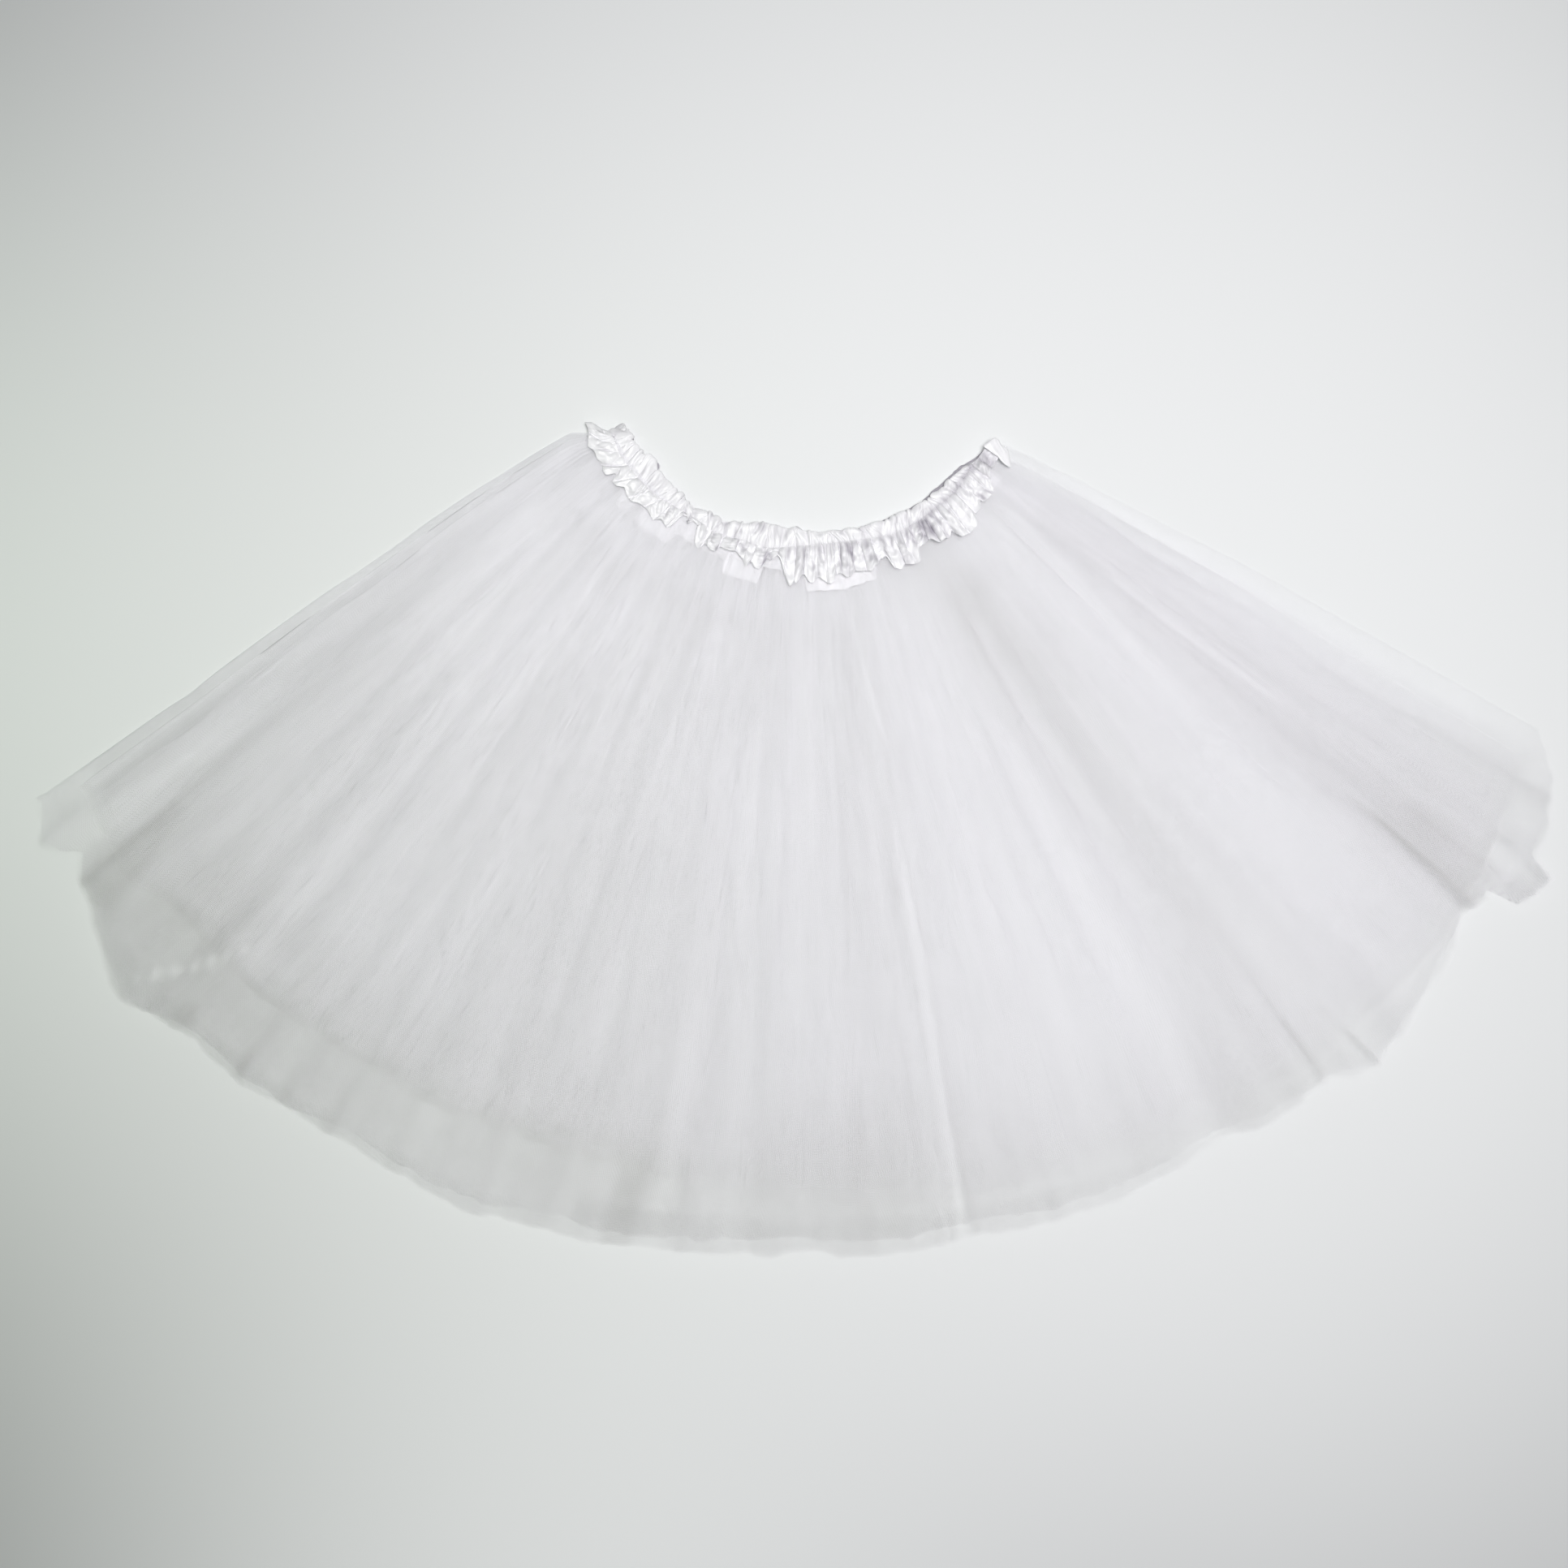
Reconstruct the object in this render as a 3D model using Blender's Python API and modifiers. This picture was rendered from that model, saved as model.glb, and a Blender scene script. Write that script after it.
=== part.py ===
"""A three-layer tulle tutu skirt with a gathered satin waistband, laid out flat.

The skirt lies like an open fan. Every point is placed by its distance from the fan's
centre and by its angle from straight down (-Y), so the waistband is the fan's small arc
and the hem its large one. Each tulle layer is one gathered strip sewn into a ring, and so
are the satin pieces: a ring lies folded flat, with its front half on its back half. The
rings nest, and every wall rests on the walls that lie below it.

Sizes are metres and degrees. The finished object stands on Z = 0.
"""

import math

import bmesh
import bpy
import numpy as np

COLLECTION_NAME = "ballet_tutu"

# ---------------------------------------------------------------- driving sizes
CLOTH = 0.0010  # thickness of every wall of tulle or satin
WAIST_PITCH = 0.0014  # height from one wall to the next at the waist
HEM_PITCH = 0.0017  # the same at the hem, where the tulle is springier
SEAM_GAP = 0.0003  # between pieces that are sewn to each other

# The satin waistband's lines wander, because the elastic inside it pulls unevenly.
# columns: angle, top edge, stitching line below the elastic, free edge of the frill
BAND_LINES = (
    (-66, 0.1160, 0.1270, 0.1400),
    (-48, 0.1150, 0.1255, 0.1385),
    (-34, 0.1168, 0.1248, 0.1365),
    (-22, 0.1155, 0.1240, 0.1360),
    (-12, 0.1110, 0.1230, 0.1380),
    (2, 0.1120, 0.1222, 0.1415),
    (15, 0.1130, 0.1218, 0.1385),
    (26, 0.1130, 0.1216, 0.1420),
    (42, 0.1120, 0.1216, 0.1415),
    (60, 0.1150, 0.1220, 0.1380),
)
TOP_EDGE, STITCHING, FRILL_EDGE = 1, 2, 3
WAIST_RADIUS = 0.1240  # mean of the stitching line
FLAP_RADIUS = 0.1455  # lower edge of the satin turned inside
CLEAR_OF_FRILL_RADIUS = 0.1460  # the tulle still lies between the satin walls here
ON_THE_FLOOR_RADIUS = 0.1680  # and lies on the floor from here on
TULLE_ROW_RADII = (0.2700, 0.4000)  # rows of points between there and the hem
MEAN_HEM_RADIUS = 0.5130

# Where the two side folds of the skirt lie, as angles from straight down.
# columns: radius, left fold, right fold
SIDE_FOLDS = (
    (0.124, -66.4, 58.9),
    (0.146, -66.6, 60.0),
    (0.168, -65.8, 60.5),
    (0.270, -62.2, 61.5),
    (0.400, -59.6, 61.3),
    (0.520, -58.4, 61.0),
)

# Hem radius of each layer, uneven because the layers are spread by hand.
# columns: angle, outer layer, middle layer, inner layer
HEMS = (
    (-59, 0.500, 0.474, 0.458),
    (-56, 0.516, 0.482, 0.466),
    (-51, 0.512, 0.486, 0.470),
    (-46, 0.532, 0.489, 0.474),
    (-38, 0.523, 0.481, 0.470),
    (-28, 0.519, 0.481, 0.468),
    (-20, 0.525, 0.478, 0.466),
    (-10, 0.516, 0.477, 0.465),
    (0, 0.510, 0.479, 0.466),
    (12, 0.508, 0.482, 0.468),
    (24, 0.505, 0.488, 0.472),
    (36, 0.514, 0.492, 0.478),
    (45, 0.508, 0.486, 0.474),
    (49, 0.490, 0.476, 0.466),
    (53, 0.513, 0.474, 0.460),
    (57, 0.488, 0.464, 0.450),
    (61, 0.470, 0.456, 0.442),
)
BACK_HEM_SHORTER = 0.007  # the back half of a hem is pulled up by this at the middle

# The folds that run from the waist to the hem, from the left fold to the right one.
# columns: share of the width, rise at the waist, rise at the hem
FOLDS = (
    (1.1, 0.0004, 0.0040),
    (1.3, 0.0006, 0.0068),
    (0.8, 0.0008, 0.0048),
    (1.0, 0.0007, 0.0060),
    (1.3, 0.0005, 0.0074),
    (0.7, 0.0009, 0.0042),
    (0.9, 0.0008, 0.0056),
    (1.2, 0.0006, 0.0066),
    (0.7, 0.0010, 0.0040),
    (1.0, 0.0008, 0.0070),
    (0.8, 0.0009, 0.0048),
    (1.1, 0.0007, 0.0062),
    (0.7, 0.0010, 0.0044),
    (0.9, 0.0006, 0.0072),
    (1.2, 0.0008, 0.0054),
    (0.8, 0.0006, 0.0068),
    (1.0, 0.0009, 0.0046),
    (1.3, 0.0005, 0.0076),
    (0.7, 0.0010, 0.0042),
    (1.0, 0.0007, 0.0064),
    (0.8, 0.0009, 0.0050),
    (1.2, 0.0006, 0.0072),
    (0.8, 0.0010, 0.0044),
    (1.0, 0.0007, 0.0060),
    (1.4, 0.0005, 0.0078),
    (0.8, 0.0008, 0.0052),
    (1.2, 0.0006, 0.0062),
    (1.2, 0.0004, 0.0042),
)
# One fold from trough to trough: where its columns of points stand, and how high.
FRONT_FOLD_SHAPE = ((0.00, 0.00), (0.45, 1.00), (0.74, 0.62))
BACK_FOLD_SHAPE = ((0.00, 0.00), (0.45, 1.00))

# The rings from the outside in. A ring's side folds lie some half folds in from the
# skirt's own, so that the stack of walls tapers at both sides.
RINGS = ("frill", "outer", "middle", "inner", "flap")
RING_INSET = {"frill": 0.0, "outer": 0.0, "middle": 0.5, "inner": 1.0, "flap": 1.5}
WAIST_ONLY = ("frill", "flap")
SIDE_FOLD_DEPTH = 0.0012  # how far a side fold bulges past its last column

CASING_RIBS = (52, 36)  # gathers in the satin over the elastic, front and back
CASING_HALF_THICKNESS = 0.0026
RIB_DEPTH = 0.0007  # how much thinner the casing is between two ribs
RIB_SCALLOP = 0.0011  # how much lower its top edge is there
CASING_BEVEL = 0.0028  # the casing's edges are rounded off over this width
CASING_END_INSET = 0.0030  # from the side fold to the centre of the casing's turn
CASING_END_DROP = 0.0020  # the front half sinks by this towards both ends
CASING_END_LENGTH = 0.14  # share of the band over which it sinks
BACK_BAND_RISE = 0.0032  # the back half of the band shows above the front by this
BACK_BAND_RISE_AT = 0.80  # where along the band it shows most
BACK_BAND_RISE_WIDTH = 0.26

FRILL_RUFFLES = 27
RUFFLE_SHAPE = ((0.00, 0.00), (0.25, 0.66), (0.50, 1.00), (0.75, 0.58))
RUFFLE_RISE = 0.0042
RUFFLE_SCALLOP = 0.0014  # the free edge reaches lower at a ruffle's crest
RUFFLE_UNEVENNESS = (1.0, 0.6, 1.2, 0.8, 0.5, 1.1, 0.75)
FRILL_END_CLEARANCE = 0.0030  # the frill's own side folds stand outside the tulle's
FRILL_LEAVES_CASING = 0.0016  # above the casing's middle
BACK_FRILL_COLUMNS = 30

COLOURS = {  # red, green, blue, roughness
    "white_tulle": (0.90, 0.90, 0.92, 0.75),
    "white_satin": (0.94, 0.94, 0.95, 0.32),
}


# ---------------------------------------------------------------- the fan
def from_table(table, column, at):
    """Reads a table between its rows; its first column is what it is read by."""
    rows = np.array(table, float)
    return float(np.interp(at, rows[:, 0], rows[:, column]))


def angle_at(across, radius):
    """Angle of the point that lies that share of the way across the skirt, in radians."""
    left, right = (from_table(SIDE_FOLDS, side, radius) for side in (1, 2))
    return math.radians(left + across * (right - left))


def band_line(line, across):
    """Radius of one of the waistband's lines."""
    return from_table(BAND_LINES, line, math.degrees(angle_at(across, WAIST_RADIUS)))


def width_at(radius):
    """Length of the arc from side fold to side fold."""
    return radius * (angle_at(1, radius) - angle_at(0, radius))


def on_the_fan(radius, angle, height):
    return (radius * math.sin(angle), -radius * math.cos(angle), height)


# ---------------------------------------------------------------- folds and stacking
def fold_columns(shape, first, last):
    """The columns of points across the skirt as (share across, fold's index, height share)."""
    starts = np.concatenate([[0], np.cumsum([width for width, _, _ in FOLDS])])
    starts = starts / starts[-1]
    columns = []
    for i in range(len(FOLDS)):
        width = starts[i + 1] - starts[i]
        columns += [(starts[i] + at * width, i, height) for at, height in shape]
    columns.append((1.0, len(FOLDS) - 1, 0.0))
    return [c for c in columns if first - 1e-9 <= c[0] <= last + 1e-9]


def ring_ends(ring):
    """Shares across the skirt at which a ring's own side folds lie, on a column of both shapes."""
    inset = RING_INSET[ring]
    columns = [c[0] for c in fold_columns(BACK_FOLD_SHAPE, 0, 1)]
    steps = round(2 * inset)
    return columns[steps], columns[-1 - steps]


def fold_rise(across, radius):
    """Height of the tulle's folds, measured on the straight lines between the columns."""
    columns = fold_columns(FRONT_FOLD_SHAPE, 0, 1)
    down = (radius - WAIST_RADIUS) / (MEAN_HEM_RADIUS - WAIST_RADIUS)
    rises = [
        share * (FOLDS[i][1] + down * (FOLDS[i][2] - FOLDS[i][1]))
        for _, i, share in columns
    ]
    return float(np.interp(across, [c[0] for c in columns], rises))


def presence(ring, across, radius):
    """1 where a ring lies in the stack, 0 where it doesn't, and between on the slope beside it."""
    if ring in WAIST_ONLY:
        down = np.interp(radius, (CLEAR_OF_FRILL_RADIUS, ON_THE_FLOOR_RADIUS), (1, 0))
    else:
        down = 1.0
    left, right = ring_ends(ring)
    if RING_INSET[ring] == 0:
        return float(down)
    columns = [c[0] for c in fold_columns(BACK_FOLD_SHAPE, 0, 1)]
    steps = columns.index(left)
    before, after = columns[steps - 1], columns[len(columns) - steps]
    return float(down * np.interp(across, (before, left, right, after), (0, 1, 1, 0)))


def pitch_at(radius):
    return float(np.interp(radius, (WAIST_RADIUS, MEAN_HEM_RADIUS), (WAIST_PITCH, HEM_PITCH)))


def wall_height(ring, front, across, radius):
    """Height of the middle of a ring's front or back wall: it lies on the walls below it,
    and the folds spread the whole stack like the leaves of a book."""
    depth = RINGS.index(ring)
    there = [presence(name, across, radius) for name in RINGS]
    level = sum(there[:depth])
    if front:
        level += 1 + 2 * sum(there[depth + 1 :])
    top_level = max(2 * sum(there) - 1, 1)
    spread = fold_rise(across, radius) / top_level
    return CLOTH / 2 + level * (pitch_at(radius) + spread)


def back_rise(across, radius):
    """How far the back half of the garment is pushed up past the front at the waist."""
    along = (across - BACK_BAND_RISE_AT) / BACK_BAND_RISE_WIDTH
    fade = np.interp(radius, (WAIST_RADIUS, ON_THE_FLOOR_RADIUS), (1, 0))
    return float(BACK_BAND_RISE * fade * max(0, 1 - along * along) ** 2)


# ---------------------------------------------------------------- building a ring
def cloth_ring(name, loop, rows, place, material):
    """A strip of cloth, laid point by point and sewn into a ring, with its thickness.

    loop lists the columns of points round the ring, rows the rows of points down it, and
    place gives the point for one of each.
    """
    columns = len(loop)
    mesh = bpy.data.meshes.new(name)
    strip = bmesh.new()
    bmesh.ops.create_grid(
        strip, x_segments=columns, y_segments=len(rows) - 1, size=1.0
    )
    for point in strip.verts:
        column = round((point.co.x + 1) / 2 * columns) % columns
        row = round((point.co.y + 1) / 2 * (len(rows) - 1))
        point.co = place(loop[column], rows[row])
    bmesh.ops.remove_doubles(strip, verts=strip.verts, dist=1e-7)
    strip.to_mesh(mesh)
    strip.free()
    mesh.shade_smooth()
    ring = bpy.data.objects.new(name, mesh)
    thickness = ring.modifiers.new("cloth_thickness", "SOLIDIFY")
    thickness.thickness = CLOTH
    thickness.offset = 0
    thickness.use_even_offset = True
    ring.data.materials.append(material)
    return ring


def laid_loop(front_columns, back_columns):
    """Columns round a ring as (kind, share across): along the front, round the right side
    fold, back along the back and round the left side fold."""
    return (
        [("front", across) for across in front_columns]
        + [("right", front_columns[-1])]
        + [("back", across) for across in reversed(back_columns)]
        + [("left", front_columns[0])]
    )


def side_fold_point(kind, across, radius, depth, heights):
    """The outermost point of a side fold, midway between the two walls that it joins."""
    out = depth if kind == "right" else -depth
    angle = angle_at(across, radius) + out / radius
    return on_the_fan(radius, angle, sum(heights) / 2)


# ---------------------------------------------------------------- tulle and inner flap
def hem_radius(ring, across, front):
    column = 1 + ("outer", "middle", "inner").index(ring)
    angle = math.degrees(angle_at(across, MEAN_HEM_RADIUS))
    radius = from_table(HEMS, column, angle)
    if not front:
        radius -= BACK_HEM_SHORTER * math.sin(math.pi * across) ** 2
    return radius


def stacked_ring(name, ring, rows, material):
    """A ring whose walls lie in the stack, folded as the tulle is."""
    first, last = ring_ends(ring)

    def place(column, row):
        kind, across = column
        radius = row
        if row == "waist":
            radius = band_line(STITCHING, across) + SEAM_GAP
        if row == "hem":
            radius = hem_radius(ring, across, kind != "back")
        heights = [wall_height(ring, front, across, radius) for front in (True, False)]
        if kind in ("left", "right"):
            return side_fold_point(kind, across, radius, SIDE_FOLD_DEPTH, heights)
        if kind == "front":
            return on_the_fan(radius, angle_at(across, radius), heights[0])
        angle = angle_at(across, radius)
        return on_the_fan(radius - back_rise(across, radius), angle, heights[1])

    loop = laid_loop(
        [c[0] for c in fold_columns(FRONT_FOLD_SHAPE, first, last)],
        [c[0] for c in fold_columns(BACK_FOLD_SHAPE, first, last)],
    )
    return cloth_ring(name, loop, rows, place, material)


def tulle_layer(name, ring, material):
    rows = ["waist", CLEAR_OF_FRILL_RADIUS, ON_THE_FLOOR_RADIUS, *TULLE_ROW_RADII, "hem"]
    return stacked_ring(name, ring, rows, material)


def inner_flap(name, material):
    return stacked_ring(name, "flap", ["waist", FLAP_RADIUS], material)


# ---------------------------------------------------------------- satin casing
def casing_height(front, across):
    """Height of the middle of the elastic casing."""
    back = CASING_HALF_THICKNESS
    if not front:
        return back
    levels = [wall_height(r, True, 0.5, WAIST_RADIUS) for r in ("flap", "frill")]
    to_end = min(across, 1 - across) / CASING_END_LENGTH
    sink = CASING_END_DROP * max(0, 1 - to_end) ** 2
    return sum(levels) / 2 - sink


def casing_stations():
    """Stations along the casing's closed path as (share across, angle, height, outward
    direction as (along the arc, up), rib share, rise of the back half)."""
    radius = WAIST_RADIUS
    end = CASING_END_INSET / width_at(radius)
    stations = []
    for front in (True, False):
        count = 2 * CASING_RIBS[0 if front else 1]
        for i in range(count + 1):
            share = i / count if front else 1 - i / count
            across = end + share * (1 - 2 * end)
            rise = 0 if front else back_rise(across, radius)
            place = (across, angle_at(across, radius), casing_height(front, across))
            stations.append((*place, (0, 1 if front else -1), i % 2, rise))
        turn = 1 if front else -1
        across = 1 - end if front else end
        top, low = casing_height(True, across), casing_height(False, across)
        for degrees in (45, 90, 135) if front else (135, 90, 45):
            out, up = math.sin(math.radians(degrees)), math.cos(math.radians(degrees))
            reach = (top - low) / 2
            angle = angle_at(across, radius) + turn * out * reach / radius
            rise = back_rise(across, radius) * (1 - up) / 2
            height = (top + low) / 2 + up * reach
            stations.append((across, angle, height, (turn * out, up), 1, rise))
    return stations


def casing_section(across, rib):
    """The casing's outline as (radius, distance from its middle), thinner between ribs."""
    half = CASING_HALF_THICKNESS - RIB_DEPTH * rib
    top = band_line(TOP_EDGE, across) + RIB_SCALLOP * rib
    low = band_line(STITCHING, across)
    return (
        (top, 0),
        (top + CASING_BEVEL, half),
        (low - CASING_BEVEL, half),
        (low, 0),
        (low - CASING_BEVEL, -half),
        (top + CASING_BEVEL, -half),
    )


def waistband_casing(name, material):
    """Satin gathered over the elastic, as one closed tube that runs round the waist."""
    stations = casing_stations()
    around, corners = len(stations), len(casing_section(0, 0))
    mesh = bpy.data.meshes.new(name)
    tube = bmesh.new()
    bmesh.ops.create_grid(tube, x_segments=around, y_segments=corners, size=1.0)
    for point in tube.verts:
        station = stations[round((point.co.x + 1) / 2 * around) % around]
        corner = round((point.co.y + 1) / 2 * corners) % corners
        across, angle, height, (out, up), rib, rise = station
        radius, away = casing_section(across, rib)[corner]
        radius -= rise
        point.co = on_the_fan(radius, angle + out * away / radius, height + up * away)
    bmesh.ops.remove_doubles(tube, verts=tube.verts, dist=1e-7)
    bmesh.ops.recalc_face_normals(tube, faces=tube.faces)
    tube.to_mesh(mesh)
    tube.free()
    mesh.shade_smooth()
    casing = bpy.data.objects.new(name, mesh)
    casing.data.materials.append(material)
    return casing


# ---------------------------------------------------------------- satin frill
def ruffle_columns():
    """Columns along the front of the frill as (share across, ruffle's height share)."""
    columns = []
    for i in range(FRILL_RUFFLES):
        size = RUFFLE_UNEVENNESS[i % len(RUFFLE_UNEVENNESS)]
        columns += [((i + at) / FRILL_RUFFLES, size * height) for at, height in RUFFLE_SHAPE]
    return columns + [(1.0, 0.0)]


def waistband_frill(name, material):
    """The satin's free edge: it leaves the casing at the stitching and ruffles over the tulle."""
    columns = ruffle_columns()
    ruffle = dict(columns)

    def place(column, looseness):
        kind, across = column
        top = band_line(STITCHING, across) + SEAM_GAP
        radius = top + looseness * (band_line(FRILL_EDGE, across) - top)
        if kind == "front":
            reach = radius + RUFFLE_SCALLOP * looseness * (ruffle[across] - 0.5)
        else:
            reach = radius
        low = CLOTH / 2
        high = wall_height("frill", True, across, radius) + SEAM_GAP
        leaving = casing_height(True, across) + FRILL_LEAVES_CASING
        high = max(high, leaving + looseness * (high - leaving))
        spill = (1 - 2 * across) * FRILL_END_CLEARANCE / radius
        angle = angle_at(across, radius) - spill
        if kind in ("left", "right"):
            out = SIDE_FOLD_DEPTH if kind == "right" else -SIDE_FOLD_DEPTH
            return on_the_fan(radius, angle + out / radius, (high + low) / 2)
        if kind == "front":
            high += RUFFLE_RISE * looseness * ruffle[across]
            return on_the_fan(reach, angle, high)
        return on_the_fan(radius - back_rise(across, radius), angle, low)

    back = [i / BACK_FRILL_COLUMNS for i in range(BACK_FRILL_COLUMNS + 1)]
    loop = laid_loop([across for across, _ in columns], back)
    return cloth_ring(name, loop, (0.0, 0.45, 1.0), place, material)


# ---------------------------------------------------------------- the whole object
def cloth_material(name):
    red, green, blue, roughness = COLOURS[name]
    material = bpy.data.materials.new(name)
    material.use_nodes = True
    shader = material.node_tree.nodes["Principled BSDF"]
    shader.inputs["Base Color"].default_value = (red, green, blue, 1.0)
    shader.inputs["Roughness"].default_value = roughness
    shader.inputs["Metallic"].default_value = 0.0
    return material


def centre_on_origin(pieces):
    """Parents the pieces to an empty that puts the middle of their outline on the origin."""
    bpy.context.view_layer.update()
    graph = bpy.context.evaluated_depsgraph_get()
    corners = np.array(
        [corner[:] for piece in pieces for corner in piece.evaluated_get(graph).bound_box]
    )
    low, high = corners.min(0), corners.max(0)
    middle = bpy.data.objects.new("tutu_origin", None)
    middle.location = (-(low[0] + high[0]) / 2, -(low[1] + high[1]) / 2, -low[2])
    bpy.data.collections[COLLECTION_NAME].objects.link(middle)
    for piece in pieces:
        piece.parent = middle


def main():
    for thing in list(bpy.data.objects):
        bpy.data.objects.remove(thing, do_unlink=True)
    collection = bpy.data.collections.new(COLLECTION_NAME)
    bpy.context.scene.collection.children.link(collection)
    tulle = cloth_material("white_tulle")
    satin = cloth_material("white_satin")
    pieces = [
        tulle_layer("outer_tulle", "outer", tulle),
        tulle_layer("middle_tulle", "middle", tulle),
        tulle_layer("inner_tulle", "inner", tulle),
        inner_flap("waistband_inner_flap", satin),
        waistband_frill("waistband_frill", satin),
        waistband_casing("waistband_casing", satin),
    ]
    for piece in pieces:
        collection.objects.link(piece)
    centre_on_origin(pieces)


main()
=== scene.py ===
import math

import bmesh
import bpy
import numpy as np
from mathutils import Matrix, Vector
from mathutils.bvhtree import BVHTree


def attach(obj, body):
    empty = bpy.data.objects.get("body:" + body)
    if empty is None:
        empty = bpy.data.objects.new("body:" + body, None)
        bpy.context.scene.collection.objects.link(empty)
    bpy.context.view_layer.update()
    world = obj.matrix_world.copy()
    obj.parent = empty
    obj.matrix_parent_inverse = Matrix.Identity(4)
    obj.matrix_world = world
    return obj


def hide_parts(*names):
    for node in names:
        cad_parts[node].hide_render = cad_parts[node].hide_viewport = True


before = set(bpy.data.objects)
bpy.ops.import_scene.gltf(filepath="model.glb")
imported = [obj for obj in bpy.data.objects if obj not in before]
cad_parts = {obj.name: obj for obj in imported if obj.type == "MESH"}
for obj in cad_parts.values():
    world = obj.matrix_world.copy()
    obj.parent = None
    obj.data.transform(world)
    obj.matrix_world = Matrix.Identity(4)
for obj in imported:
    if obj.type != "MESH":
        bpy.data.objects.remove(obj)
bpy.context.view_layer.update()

# The skirt lies as an open fan. Angles are in degrees from straight down (-Y) round its centre.
fan = {
    "centre": (0.0088, 0.2786),
    "foldRadii": (0.124, 0.146, 0.168, 0.270, 0.400, 0.520),
    "leftFold": (-66.4, -66.6, -65.8, -62.2, -59.6, -58.4),
    "rightFold": (58.9, 60.0, 60.5, 61.5, 61.3, 61.0),
    "waistRadius": 0.1240,
    "hemRadius": 0.5130,
    "tuckShare": 0.07,  # the left side is drawn in under the end of the band, over this share of the fan
    "tuckTurn": 6.0,
    "tuckRadii": (0.125, 0.146),
    "lowest": 0.0002,  # height of cloth that lies on the floor
}

# The waistband's lines, as angle and radius.
bandLines = {
    "top": (
        (-65.5, 0.1179), (-64, 0.117), (-60.5, 0.1166), (-59, 0.1158), (-56.5, 0.1172),
        (-52.6, 0.1159), (-51.1, 0.1132), (-49.1, 0.1128), (-47.1, 0.1155), (-42.6, 0.1156),
        (-39.2, 0.1178), (-37.2, 0.1165), (-34.2, 0.1192), (-30.2, 0.1166), (-24.8, 0.1175),
        (-20.3, 0.1149), (-18.4, 0.1158), (-15.9, 0.1127), (-13.4, 0.1104), (-10.4, 0.1113),
        (-8, 0.1118), (-5, 0.1113), (-4, 0.11), (-2.5, 0.1122), (2.9, 0.1131), (8.4, 0.1131),
        (11.8, 0.114), (19.8, 0.1139), (24.7, 0.1139), (32.7, 0.1152), (36.6, 0.1138), (43.6, 0.1132),
        (47.5, 0.1136), (50.5, 0.1158), (53.5, 0.1171), (59.5, 0.1179),
    ),
    "stitching": (
        (-65.5, 0.1269), (-61.5, 0.1265), (-56.5, 0.1284), (-45.6, 0.1281), (-41.6, 0.1277),
        (-37.6, 0.126), (-33.7, 0.1252), (-29.7, 0.1252), (-25.8, 0.1266), (-21.8, 0.1262),
        (-17.8, 0.1248), (-13.9, 0.1258), (-9.9, 0.1253), (-6, 0.1235), (-2, 0.1222), (5.9, 0.1213),
        (11.8, 0.1217), (17.8, 0.123), (23.7, 0.1243), (29.7, 0.1233), (35.6, 0.1223), (41.5, 0.1218),
        (45.5, 0.1195), (49.5, 0.1181), (59.4, 0.1179),
    ),
    "frillEdge": (
        (-67.5, 0.134), (-64.5, 0.1367), (-62.1, 0.139), (-61.7, 0.1404), (-60, 0.1382),
        (-58.1, 0.1391), (-56.9, 0.1378), (-55.1, 0.1405), (-53.6, 0.1405), (-52.8, 0.1347),
        (-52, 0.1392), (-50.4, 0.1392), (-49, 0.1361), (-47, 0.1388), (-45.6, 0.1393), (-44.2, 0.1366),
        (-41.6, 0.1362), (-39.1, 0.1385), (-37.8, 0.1349), (-35.9, 0.1368), (-35, 0.1363),
        (-34.4, 0.126), (-33.1, 0.1252), (-32.1, 0.1301), (-31.3, 0.1261), (-29.4, 0.127),
        (-28.8, 0.1324), (-28, 0.1369), (-26.8, 0.1382), (-26, 0.1337), (-24.1, 0.1355),
        (-23.2, 0.1351), (-22.6, 0.1315), (-19.8, 0.1324), (-18.5, 0.1311), (-16.3, 0.1343),
        (-15.3, 0.1392), (-14.2, 0.1338), (-13.5, 0.137), (-11.9, 0.1374), (-11.5, 0.1356),
        (-11.1, 0.1298), (-10.1, 0.1316), (-8.5, 0.128), (-7.6, 0.1289), (-6.6, 0.1356),
        (-5.3, 0.1428), (-4.6, 0.1446), (-4, 0.141), (-3.5, 0.1437), (-2.4, 0.1374), (-1.6, 0.137),
        (-0.5, 0.1415), (0.5, 0.1415), (1.3, 0.1379), (3.5, 0.1423), (4.8, 0.1423), (5.5, 0.1383),
        (6.6, 0.137), (7.9, 0.1401), (9.1, 0.1396), (9.9, 0.1374), (14, 0.1392), (14.6, 0.1365),
        (15.4, 0.1369), (16.2, 0.1342), (18, 0.1329), (18.7, 0.1409), (20.4, 0.1431), (21.1, 0.1409),
        (23.2, 0.1431), (25.1, 0.1435), (25.5, 0.1355), (29.3, 0.1341), (30.4, 0.1385), (32.1, 0.1381),
        (33, 0.1398), (34.2, 0.1367), (35.3, 0.1425), (37.6, 0.1442), (40, 0.1424), (40.8, 0.137),
        (42.8, 0.1374), (43.5, 0.1339), (45, 0.1361), (47.9, 0.1356), (48.7, 0.1306), (49.7, 0.1293),
        (50.5, 0.1266), (59.4, 0.1259),
    ),
}


def angleAt(across, radius):
    left = np.interp(radius, fan["foldRadii"], fan["leftFold"])
    right = np.interp(radius, fan["foldRadii"], fan["rightFold"])
    return left + across * (right - left)


def tucked(across, radius):
    near = np.maximum(0.0, 1.0 - across / fan["tuckShare"]) ** 2
    near = near * (1.0 - smoothStep(*fan["tuckRadii"], radius))
    return angleAt(across, radius) + fan["tuckTurn"] * near


def arcLength(radius):
    return radius * np.radians(angleAt(1.0, radius) - angleAt(0.0, radius))


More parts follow.
